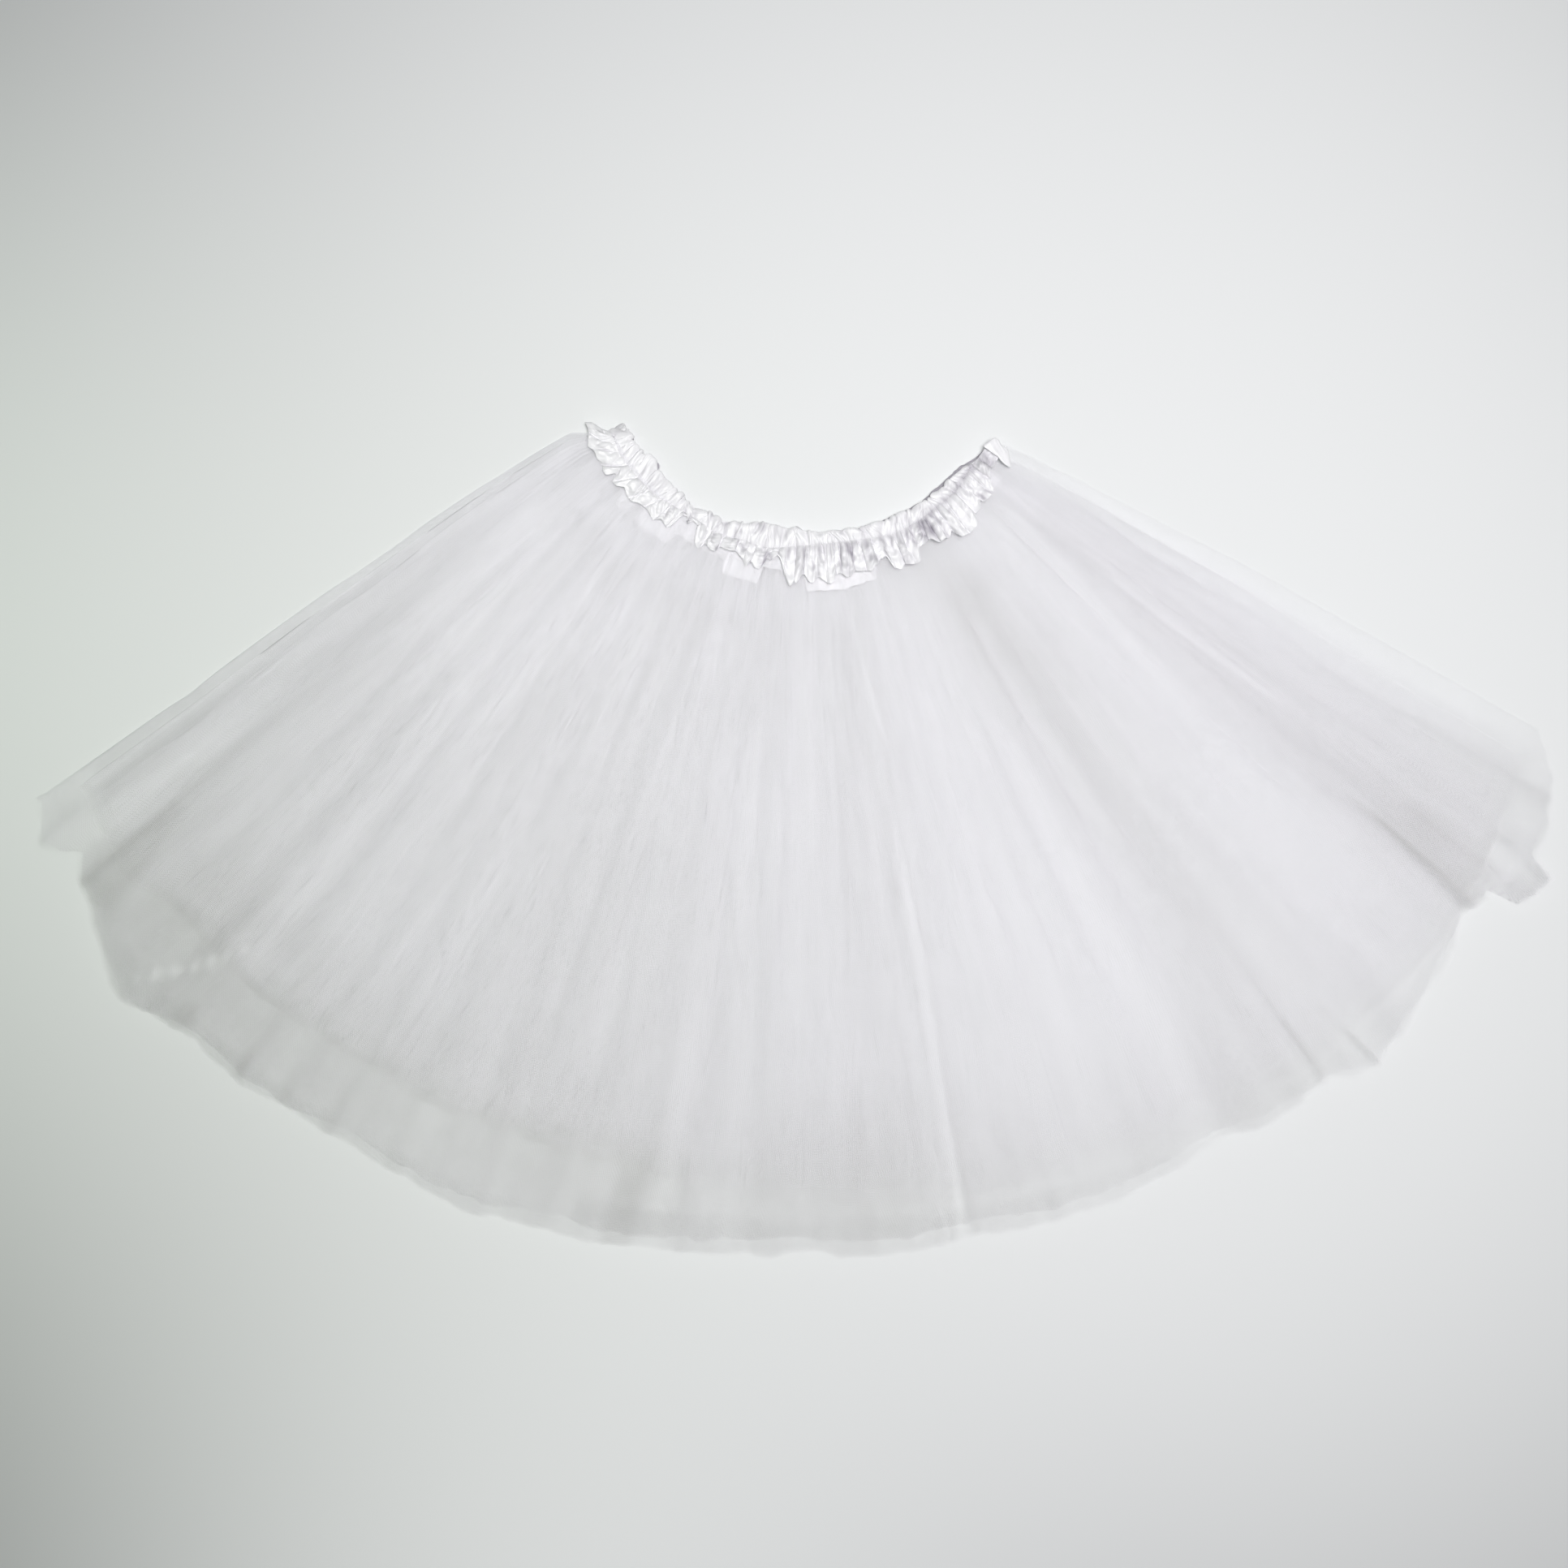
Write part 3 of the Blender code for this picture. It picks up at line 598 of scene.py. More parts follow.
def tulleLayer(spec):
    spec = {**tulle, **spec}
    heightAt = wallHeights(spec["node"])
    front, back = spec["columns"]
    turn, rows = spec["sideTurn"], spec["rows"]
    columns = front + back + 2 * turn
    mesh, column, row = clothGrid(spec["name"], columns, rows)
    down = (np.arange(rows + 1) / rows)[:, None]
    low, high = spec["ends"]
    seed = spec["seed"]
    isOuter = spec["node"] == "outer_tulle"

    def density(across, laidAcross, radius, which):
        # how many nets lie over each other in one half of the ring
        angle = angleAt(laidAcross, radius)
        slope = np.gradient(laidAcross, across, axis=1) / (high - low)
        squeezed = np.clip(1.0 / np.maximum(np.abs(slope), 1e-3), *spec["squeeze"])
        packed = np.minimum(cutWidth(spec["cut"], radius) / arcLength(radius), spec["fullest"])
        packed = packed / spec["slack"]
        streak = sum(
            amount * patches(angle, radius, wide, long, seed + 11 + which + i)
            for i, (amount, wide, long) in enumerate(spec["streaks"]))
        calmer, calmLeft, calmRight = spec["calmerLeft"]
        streak = streak * (1.0 - calmer + calmer * smoothStep(calmLeft, calmRight, angle))
        packed = packed * squeezed * (1.0 + streak)
        if isOuter and not which:
            packed = packed * np.maximum(1.0 + alongLines(angle, radius, thinner), 0.12)
        packed = packed * np.interp(angle, bunched["angles"], bunched["amount"])
        endLess, endShare = spec["rightEnd"]
        packed = packed * (1.0 - endLess * smoothStep(endShare, 1.0, across))
        bandLess, *bandRadii = spec["underBand"]
        return packed * (1.0 - bandLess + bandLess * smoothStep(*bandRadii, radius))

    def side(across, which, folds):
        # one half of the ring, the front (0) or the back (1): its points and density
        guess = fan["waistRadius"] + (fan["hemRadius"] - fan["waistRadius"]) * down
        shift, lift = foldCloth(across[None, :], guess, folds, seed + 100 * which)
        laidAcross = low + (across + shift) * (high - low)
        hem = np.interp(angleAt(laidAcross[-1], 0.52), spec["hemAngles"], spec["hem"])
        for i, (amount, step) in enumerate(spec["hemWaves"]):
            hem = hem + amount * wander(across, step, seed + 5 + i + which)
        if which:
            hem = hem - spec["backShorter"] * np.sin(math.pi * across) ** 2
        start = fan["waistRadius"] + spec["startsBelow"]
        radius = start + (hem - start) * down
        height = heightAt(which, laidAcross, radius)
        drift, driftStep = spec["gatherDrift"]
        gathers = spec["gathers"] * across + drift * wander(across, driftStep, seed + 8)
        ripple = np.sin(2 * math.pi * gathers) * (1.0 - smoothStep(*spec["gatherRadii"], radius))
        ripple = ripple * spec["gatherHeight"]
        atHem = smoothStep(spec["liftedFrom"], 1.0, down) * spec["hemLift"]
        if which:
            height = np.maximum(height, 0.0003) + 0.5 * lift + np.abs(ripple) * 0.4
        else:
            height = height + lift + ripple + atHem * (0.5 + 0.5 * wander(across, 0.022, seed + 9))
        return radius, laidAcross, height, density(across, laidAcross, radius, which)

    def sideFold(radius, share, top, bottom, out):
        # the side fold: half a round turn from the front wall to the back wall
        steps = (np.arange(1, turn) / turn)[None, :]
        reach = (top - bottom) / 2.0
        height = (top + bottom) / 2.0 + reach * np.cos(math.pi * steps)
        angle = tucked(share, radius) + out * np.degrees(reach * np.sin(math.pi * steps) / radius)
        return toWorld(radius + 0.0 * steps, angle, height)

    frontSide = (list(frontFolds) if isOuter else []) + randomFolds(seed, *spec["scattered"])
    radiusF, acrossF, heightF, packedF = side(np.linspace(0.0, 1.0, front + 1), 0, frontSide)
    backSide = randomFolds(seed + 3, *spec["scatteredBehind"])
    radiusB, acrossB, heightB, packedB = side(np.linspace(1.0, 0.0, back + 1), 1, backSide)
    pointsF = toWorld(radiusF, tucked(acrossF, radiusF), heightF)
    pointsB = toWorld(radiusB, tucked(acrossB, radiusB), heightB)
    right = sideFold(radiusF[:, -1:], acrossF[:, -1:], heightF[:, -1:], heightB[:, :1], 1.0)
    left = sideFold(radiusF[:, :1], acrossF[:, :1], heightF[:, :1], heightB[:, -1:], -1.0)[:, ::-1]
    points = np.concatenate([pointsF, right, pointsB, left, pointsF[:, :1]], axis=1)
    packedRight = np.repeat(packedF[:, -1:], turn - 1, 1)
    packedLeft = np.repeat(packedF[:, :1], turn, 1)
    packed = np.concatenate([packedF, packedRight, packedB, packedLeft], axis=1)
    turned, placed = fromWorld(points)
    fading = spec["fadeAmount"] - spec["fadeLess"] * smoothStep(*spec["fadeAngles"], turned)
    packed = packed * (1.0 - fading * smoothStep(1.0 - spec["fade"] / spec["depth"], 1.0, down))
    covered = 1.0 - (1.0 - spec["coverage"]) ** np.clip(packed, *spec["netsOver"])
    thread = (1.0 - np.sqrt(1.0 - covered)) / 2.0
    # painted shade, kept in the attribute edge: on the outer layer by angle, radius and pleats, on the
    # inner layers along the hem
    if isOuter:
        edge = paintedTulleShadeAt(turned, placed)
        edge[:, :front] += alongLines(turned, placed, paintedPleatShade)[:, :front]
    else:
        least, less = spec["hemShadeLeast"], spec["hemShadeLess"]
        begins, ceases = (smoothStep(*pair, turned) for pair in spec["hemShadeAngles"])
        edge = spec["edge"] * smoothStep(1.0 - spec["hemShadeDepth"] / spec["depth"], 1.0, down)
        edge = edge * (least + (1.0 - least) * begins * (1.0 - less * ceases))
    waistCut, hemCut, depthCut = spec["cut"]
    width = waistCut + (hemCut - waistCut) * row / rows
    acrossCloth = (column / columns - 0.5) * hemCut
    drifts = [(*drift, seed + 21 + i) for i, drift in enumerate(spec["weaveDrift"])]
    drifting = wanders(acrossCloth, drifts)
    weave = ((column / columns - 0.5) * width, row / rows * depthCut + drifting)
    layGrid(mesh, column, row, points, weave, thread=thread, edge=edge)
    piece = finishCloth(mesh, tulleMaterial(spec), spec["node"])
    return piece


casing = {
    "cut": (0.66, 0.013),
    "columns": (1300, 560),
    "around": 30,
    "turn": 20,
    "frontHeight": 0.0103,
    "backHeight": 0.0027,
    "endSink": 0.0020,
    "sinkShare": 0.14,
    "endInsets": (0.0108, 0.0105),
    "measuredAt": 0.1225,  # radius at which lengths along the band are taken
    "halfThickness": 0.0018,
    "slants": ((0.0070, 0.022, 71), (0.0032, 0.007, 72)),
    "lobes": (0.0056, 73, 0.5, 1.6),  # width, seed, and how much narrower and wider they get
    "gathers": (0.0031, 74, 0.5, 1.7),
    "crinkles": (0.0019, 78, 0.5, 1.8),
    "ribHeight": 0.0026,
    "fineShare": 0.20,
    # the height of its ribs at the left and of the rest, and between which shares of the way it changes
    "leftRibs": (0.46, 0.78, 0.10, 0.60),
    "lean": 0.55,
    "tilt": 0.36,
    "scallop": 0.0018,
    "backRise": 0.0017,
    "backRiseAt": 0.82,
    "backRiseWidth": 0.25,
    "backRiseRadii": (0.124, 0.168),
    "leftGapShade": (0.50, 0.16, 0.46),  # more painted shade at the left end: amount, from which share to which
}

# How much shade is painted on the band, by angle: in its gaps, and along the stitching or this far above
# it.
bandShade = {
    "angles": (-66, -50, -36, -28, -14, 0, 14, 28, 36, 48, 60),
    "gapShade": (0.14, 0.16, 0.2, 0.28, 0.3, 0.2, 0.24, 0.28, 0.24, 0.22, 0.22),
    "stitching": (0.0, 0.0, 0.02, 0.05, 0.08, 0.18, 0.22, 0.28, 0.38, 0.36, 0.34),
    "above": (0.0, 0.0, 0.0, 0.0, 0.0, 0.0, 0.0, 0.0, 0.0016, 0.002, 0.002),
    # how far the frill's lobes lean, in degrees
    "lean": (4.2, 2.6, 1.2, 0.4, 0.2, 0.0, -0.4, -0.6, 0.2, -0.8, 0.0),
    "seamReach": (0.0032, 0.0016),  # how far the painted shade along the stitching reaches down and up
}

# Shade painted in the band's hollows: from angle, radius and half width to angle, radius and half width,
# and how dark.
paintedHollowShade = (
    (-64.1, 0.1197, 0.0018, -63.5, 0.126, 0.0018, 0.29),
    (-62, 0.1184, 0.002, -61.1, 0.1256, 0.0018, 0.35),
    (-49.4, 0.1191, 0.0008, -48.3, 0.1281, 0.0008, 0.42),
    (-52.6, 0.1289, 0.0009, -52.6, 0.137, 0.0011, 0.25),
    (-60.8, 0.1355, 0.0014, -57.7, 0.1306, 0.0009, 0.24),
    (-56.4, 0.1387, 0.0016, -53.7, 0.1311, 0.0014, 0.27),
    (-46.6, 0.1187, 0.001, -46.6, 0.1272, 0.0009, 0.34),
    (-45, 0.1223, 0.0012, -44.9, 0.1272, 0.0011, 0.24),
    (-43, 0.1201, 0.001, -43.5, 0.1273, 0.001, 0.42),
    (-37.4, 0.1256, 0.001, -37.3, 0.135, 0.001, 0.34),
    (-36.9, 0.1184, 0.0009, -36.5, 0.1229, 0.0009, 0.24),
    (-35, 0.122, 0.0011, -33.9, 0.126, 0.0014, 0.34),
    (-32.5, 0.1229, 0.0009, -32.2, 0.1305, 0.0011, 0.42),
    (-28.2, 0.1167, 0.0009, -27.6, 0.1221, 0.001, 0.38),
    (-25.5, 0.1185, 0.001, -24.8, 0.1235, 0.001, 0.46),
    (-25, 0.1266, 0.0014, -24.8, 0.1311, 0.0014, 0.25),
    (-23.1, 0.1172, 0.0016, -23, 0.1244, 0.0015, 0.35),
    (-23.6, 0.132, 0.0014, -23.1, 0.1351, 0.0014, 0.5),
    (-20.5, 0.1195, 0.0009, -19.5, 0.1253, 0.0011, 0.44),
    (-19.1, 0.1186, 0.0011, -18.9, 0.1208, 0.0011, 0.34),
    (-17.7, 0.1257, 0.002, -17.1, 0.1302, 0.0016, 0.42),
    (-17, 0.115, 0.0018, -15.7, 0.1128, 0.0018, 0.34),
    (-14.1, 0.1119, 0.002, -13.9, 0.1173, 0.002, 0.52),
    (-15.7, 0.1173, 0.0014, -15.5, 0.1186, 0.0014, 0.34),
    (-15.9, 0.1226, 0.0009, -15.9, 0.1258, 0.0009, 0.29),
    (-11.4, 0.1186, 0.0011, -12.1, 0.1249, 0.0011, 0.35),
    (-13.8, 0.1285, 0.0011, -12.9, 0.1267, 0.0011, 0.29),
    (-11.5, 0.1285, 0.0012, -11.2, 0.1365, 0.0013, 0.71),
    (-10.9, 0.1267, 0.0014, -9.8, 0.1316, 0.0014, 0.59),
    (-10.1, 0.1119, 0.0014, -9.9, 0.1186, 0.0014, 0.46),
    (-8.1, 0.1115, 0.0007, -8.3, 0.1186, 0.0007, 0.27),
    (-7.1, 0.1146, 0.0007, -6.9, 0.1195, 0.0007, 0.38),
    (-5.8, 0.124, 0.0011, -5.6, 0.1289, 0.0011, 0.52),
    (-3.3, 0.1227, 0.0018, -2.8, 0.1356, 0.0018, 0.32),
    (-2.1, 0.1227, 0.0009, -1.6, 0.1285, 0.0009, 0.25),
    (-4.4, 0.1097, 0.0016, -4, 0.1115, 0.0016, 0.42),
    (-1.2, 0.1231, 0.0009, -1, 0.1294, 0.0009, 0.25),
    (0.2, 0.1298, 0.0008, 0.5, 0.1352, 0.0008, 0.59),
    (2.1, 0.1213, 0.0011, 2, 0.1289, 0.001, 0.42),
    (2.1, 0.1307, 0.0009, 1.6, 0.1379, 0.001, 0.32),
    (3.4, 0.1222, 0.0009, 3.1, 0.1316, 0.0009, 0.24),
    (4.8, 0.1231, 0.0007, 4.5, 0.1325, 0.0007, 0.29),
    (4.3, 0.1186, 0.0009, 4.9, 0.1141, 0.0009, 0.23),
    (6.1, 0.1141, 0.0014, 5.9, 0.1213, 0.0014, 0.2),
    (6.7, 0.1289, 0.0008, 6.6, 0.1361, 0.0008, 0.4),
    (7.6, 0.1217, 0.0011, 7.5, 0.1307, 0.0011, 0.47),
    (8.5, 0.1311, 0.0029, 8.4, 0.1401, 0.0029, 0.37),
    (9.2, 0.1217, 0.0014, 9.5, 0.128, 0.0014, 0.59),
    (9.9, 0.1253, 0.0014, 10.1, 0.1316, 0.0012, 0.52),
    (11, 0.1217, 0.0011, 10.8, 0.1253, 0.0011, 0.5),
    (8.2, 0.1137, 0.0014, 7.9, 0.1168, 0.0014, 0.3),
    (13.8, 0.1302, 0.0036, 15, 0.1342, 0.0027, 0.5),
    (14, 0.1221, 0.0019, 14, 0.1289, 0.0019, 0.42),
    (13.7, 0.1141, 0.0027, 14, 0.1199, 0.0022, 0.3),
    (16, 0.1141, 0.0018, 15.6, 0.1172, 0.0014, 0.26),
    (18.6, 0.1158, 0.0022, 17.6, 0.1261, 0.0014, 0.26),
    (18.4, 0.1257, 0.0008, 18, 0.1342, 0.0008, 0.42),
    (20.4, 0.1243, 0.0008, 20.2, 0.1324, 0.0008, 0.39),
    (22.5, 0.1194, 0.0014, 24.1, 0.1149, 0.0014, 0.37),
    (25.9, 0.1153, 0.0016, 26.3, 0.1234, 0.0022, 0.37),
    (22.7, 0.1261, 0.001, 22, 0.1319, 0.001, 0.5),
    (24.6, 0.1256, 0.001, 23.7, 0.1323, 0.001, 0.52),
    (25.6, 0.1261, 0.001, 25.3, 0.1341, 0.0011, 0.64),
    (21.9, 0.1351, 0.0022, 22.1, 0.1431, 0.0022, 0.39),
    (27.6, 0.1242, 0.0008, 27.2, 0.1328, 0.0008, 0.38),
    (29, 0.1238, 0.0025, 30.2, 0.1341, 0.0027, 0.8),
    (30.8, 0.1238, 0.0014, 31, 0.1314, 0.0014, 0.5),
    (28.1, 0.1292, 0.0018, 28.1, 0.135, 0.0018, 0.46),
    (32.4, 0.1237, 0.0012, 33, 0.1313, 0.0012, 0.5),
    (33.1, 0.1336, 0.001, 32.8, 0.1394, 0.001, 0.44),
    (31, 0.1153, 0.0018, 31, 0.1215, 0.0018, 0.33),
    (32.9, 0.1188, 0.0014, 32.6, 0.1242, 0.0014, 0.29),
    (37.4, 0.1147, 0.0014, 37.6, 0.1219, 0.0015, 0.3),
    (39.7, 0.1147, 0.0009, 39.9, 0.12, 0.0011, 0.27),
    (42.4, 0.1155, 0.0022, 42, 0.1209, 0.0027, 0.3),
    (45.1, 0.1159, 0.0036, 45.5, 0.1195, 0.0036, 0.32),
    (48.4, 0.1136, 0.0013, 48.3, 0.1208, 0.0015, 0.47),
    (36, 0.1282, 0.0011, 37, 0.1255, 0.0011, 0.38),
    (42.5, 0.1236, 0.0011, 43, 0.1294, 0.0011, 0.24),
    (44.4, 0.1218, 0.0009, 44.6, 0.1267, 0.0009, 0.29),
    (46.9, 0.1208, 0.0009, 47.1, 0.1275, 0.0009, 0.25),
    (48.5, 0.1221, 0.0009, 48.8, 0.1288, 0.001, 0.35),
    (44.8, 0.1303, 0.0014, 45.3, 0.1356, 0.0014, 0.71),
    (46.3, 0.1302, 0.0012, 47.3, 0.1365, 0.0012, 0.46),
    (51.5, 0.1189, 0.004, 51.7, 0.127, 0.0045, 0.36),
    (50.3, 0.1181, 0.0014, 50.5, 0.1207, 0.0014, 0.22),
    (53.0, 0.118, 0.0034, 53.3, 0.127, 0.004, 0.5),
)


def shadeOf(name, angle):
    return np.interp(angle, bandShade["angles"], bandShade[name])


def backRise(across, radius):
    # the back of the band lies a little above its front, on the right
    along = (across - casing["backRiseAt"]) / casing["backRiseWidth"]
    fade = 1.0 - smoothStep(*casing["backRiseRadii"], radius)
    return casing["backRise"] * fade * np.maximum(0.0, 1.0 - along ** 2) ** 2


def unevenWaves(position, meanWidth, seed, least, most):
    # waves side by side of uneven width: number of the wave, place in it from 0 to 1, its width
    dice = np.random.default_rng(seed)
    widths = dice.uniform(least, most, 400) * meanWidth
    edges = np.concatenate([[0.0], np.cumsum(widths)]) - 10 * meanWidth
    phase = np.interp(position, edges, np.arange(len(edges)))
    number = np.floor(phase).astype(int)
    return number, phase - number, widths[np.clip(number, 0, 399)]


def laidWaves(position, edges):
    # the same for waves whose edges are listed
    edges = np.array(edges)
    number = np.clip(np.searchsorted(edges, position, side="right") - 1, 0, len(edges) - 2)
    width = edges[number + 1] - edges[number]
    return number, np.clip((position - edges[number]) / width, 0.0, 1.0), width


def gap(place):
    return (1.0 - np.sin(math.pi * place)) ** 1.3


def bump(place, sharpness=1.0):
    return np.sin(math.pi * place) ** sharpness


def rounded(values, reach):
    # takes the corners off a line of values, over this many columns each way
    kernel = np.hanning(2 * reach + 3)[1:-1]
    return np.convolve(np.pad(values, reach, mode="edge"), kernel / kernel.sum(), mode="valid")


def bandPath(spec, insets, topHeight, lowHeight):
    # the way round the waist: share across, height, distance out of line, and outward direction
    frontColumns, backColumns = spec["columns"]
    inFront = np.linspace(insets[0], 1.0 - insets[1], frontColumns + 1)
    inBack = inFront[-1] + (inFront[0] - inFront[-1]) * np.linspace(0.0, 1.0, backColumns + 1)
    steps = np.arange(1, spec["turn"]) / spec["turn"] * math.pi
    share = np.concatenate([inFront, 0 * steps + inFront[-1], inBack, 0 * steps + inFront[0]])
    out = np.concatenate([0 * inFront, np.sin(steps), 0 * inBack, -np.sin(steps)])
    up = np.concatenate([0 * inFront + 1, np.cos(steps), 0 * inBack - 1, -np.cos(steps)])
    top, low = topHeight(share), lowHeight(share)
    height = (top + low) / 2 + up * (top - low) / 2
    aside = out * (top - low) / 2
    return [np.append(a, a[0]) for a in (share, height, aside, out, up)]


def level(height):
    return lambda share: height + 0.0 * share


def casingFront(across):
    sink = np.maximum(0.0, 1.0 - np.minimum(across, 1.0 - across) / casing["sinkShare"]) ** 2
    return casing["frontHeight"] - casing["endSink"] * sink


def wayRound(angle, height, radius):
    return np.cumsum(np.append(0.0, np.hypot(np.diff(np.radians(angle)) * radius, np.diff(height))))


def bandPaintedShade(points):
    # how much shade is painted on the band's front at these points: along the stitching and in its
    # hollows
    angle, radius = fromWorld(points)
    fromSeam = radius - bandLine("stitching", angle) + shadeOf("above", angle)
    seamBelow, seamAbove = bandShade["seamReach"]
    fromSeam = fromSeam / np.where(fromSeam > 0.0, seamBelow, seamAbove)
    dull = shadeOf("stitching", angle) * np.exp(-fromSeam ** 2)
    for *line, amount in paintedHollowShade:
        t, aside, half = besideLine(line, angle, radius)
        aside = aside + 0.0005 * wander(radius + 0.001 * line[0], 0.0026, 97)
        ends = smoothStep(-0.45, 0.35, t) * (1.0 - smoothStep(0.65, 1.45, t))
        darker = 0.84 + 0.22 * smoothStep(0.118, 0.124, line[1])
        dull = dull + darker * amount * np.exp(-(aside / half) ** 2) * ends
    return dull


def satinCasing(material):
    insets = np.array(casing["endInsets"]) / arcLength(fan["waistRadius"])
    share, height, aside, out, up = bandPath(casing, insets, casingFront, level(casing["backHeight"]))
    around = casing["around"]
    mesh, column, row = clothGrid("waistband_ruched_casing", len(share) - 1, around)
    turnRound = (np.arange(around + 1) / around * 2 * math.pi)[:, None]
    toStitching = np.cos(turnRound)  # 1 at the stitching, -1 at the top edge
    outward = np.sin(turnRound)
    angle = angleAt(share, fan["waistRadius"])
    top = bandLine("top", angle)
    stitching = bandLine("stitching", angle)
    along = wayRound(angle, height, casing["measuredAt"])
    edge = smoothStep(-0.6, 0.9, -toStitching)
    fromStitching = (1.0 - toStitching) / 2
    slant = wanders(along, casing["slants"]) * fromStitching
    wider = np.cumsum(np.append(0.0, np.diff(along) * (1.3 - 0.6 * share[1:])))  # lobes widen rightwards
    lobe, lobePlace, lobeWidth = unevenWaves(wider + slant, *casing["lobes"])
    pleat, pleatPlace, _ = unevenWaves(along + 0.6 * slant, *casing["gathers"])
    crinkle, crinklePlace, _ = unevenWaves(along - slant, *casing["crinkles"])
    lobePuff = (0.72 + 0.48 * wander(lobe, 1.0, 75)) * bump(lobePlace, 0.5)
    pleatPuff = (0.60 + 0.45 * wander(pleat, 1.0, 76)) * bump(pleatPlace, 0.7)
    fine = (0.5 + 0.5 * wander(crinkle, 1.0, 79)) * bump(crinklePlace)
    rib = lobePuff * (0.30 + 0.70 * edge) + 0.75 * pleatPuff * (1.0 - 0.70 * edge)
    least, more, *shares = casing["leftRibs"]
    rib = (1.0 - casing["fineShare"]) * rib + casing["fineShare"] * fine
    rib = casing["ribHeight"] * rib * (least + more * smoothStep(*shares, share))
    rib = rib + casing["tilt"] * wander(lobe, 1.0, 70) * (lobePlace - 0.5) * lobeWidth * edge
    pinch = 0.75 + 0.25 * fromStitching
    body = casing["halfThickness"] * np.sign(outward) * np.abs(outward) ** 0.75 * pinch
    reach = np.where(outward > -0.2, 1.0, 0.35) * np.abs(outward) ** 0.5
    body = body + np.sign(outward) * (rib - 0.25 * casing["ribHeight"]) * reach * (0.40 + 0.60 * pinch)
    heading = smoothStep(0.2, 1.0, -toStitching) * (0.25 + 0.75 * np.clip(1.0 + up, 0.0, 1.0))
    radius = (top + stitching) / 2 + (stitching - top) / 2 * toStitching
    radius = radius - casing["scallop"] * heading * (lobePuff - 0.5)
    radius = radius - backRise(share, radius) * np.clip((1.0 - up) / 2, 0.0, 1.0)
    leaning = casing["lean"] * wander(lobe, 1.0, 77) * lobeWidth * bump(lobePlace, 0.5) * edge
    leaning = leaning * np.clip(outward + 0.3, 0.0, 1.0)
    angles = angle + np.degrees((aside + leaning + out * body) / radius)
    points = toWorld(radius, angles, height + up * body)
    leftShade, *leftShares = casing["leftGapShade"]
    # painted shade in the gaps between lobes and gathers, more at the left end
    gapShade = gap(lobePlace) * (0.15 + 0.85 * edge) + 0.7 * gap(pleatPlace) * (1.0 - edge)
    gapShade = gapShade * (1.4 - 0.7 * share) + leftShade * (1.0 - smoothStep(*leftShares, share))
    dull = np.clip(-up, 0.0, 1.0) * np.clip(0.7 - 3.0 * outward, 0.0, 1.0)  # painted shade on the inside of the ring
    dull = dull + shadeOf("gapShade", angle) * gapShade * np.clip(outward + 0.4, 0.0, 1.0)
    dull = dull + bandPaintedShade(points) * np.clip(up, 0.0, 1.0)
    weave = (along[column], row / around * 2 * casing["cut"][1])
    layGrid(mesh, column, row, points, weave, dull=dull)
    piece = finishCloth(mesh, material, "waistband_casing")


frill = {
    "cut": (0.66, 0.020),
    "cutArea": 0.0122,  # its lower edge is cut uneven
    "columns": (1500, 560),
    "rows": 26,
    "turn": 16,
    "insets": (0.0063, 0.036),
    "endSlant": 4.4,  # degrees by which its left end slopes
    "slants": ((0.0040, 0.030, 81), (0.0018, 0.008, 80)),
    "crinkles": (0.0019, 89, 0.5, 1.8),
    "lobeRadius": 0.137,  # radius at which its lobes are measured
    "lobeHeight": 0.0028,
    "crumple": 0.0015,
    "calmerLeft": (0.45, -52.0, -34.0),  # least crumpling, left of these angles
    "gatherHeight": 0.0017,
    "crinkleHeight": 0.0002,
    "pinch": 0.10,
    "lean": 0.30,
    "tilt": 0.36,
    "rounding": 6,  # columns over which its edge is rounded
    "backHeight": 0.0005,
    "clearOfTulle": 0.0007,
    "clearOfFolds": 0.0005,
}

# Where one lobe of the frill meets the next, by angle.
frillLobes = (
    -68.5, -64.2, -60.6, -56.9, -52.8, -49.0, -44.3, -40.9, -37.8, -34.7, -31.9, -29.1, -26.0, -22.7,
    -18.6, -16.1, -14.2, -11.2, -8.5, -6.3, -3.9, -1.8, 1.3, 3.3, 5.6, 7.0, 9.8, 12.4, 15.4, 18.4,
    21.1, 23.3, 25.5, 28.2, 30.4, 32.4, 34.3, 37.2, 40.8, 43.6, 46.2, 48.7, 51.4, 55.0, 60.5,
)


def clearOf(points, piece, clear):
    # lifts the points clear of another piece lying under them
    tree = rayTree(piece.data)
    for line in points:
        for point in line:
            height = hitHeight(tree, point, 0.1, -1.0)
            if height is not None:
                point[2] = max(point[2], height + clear)


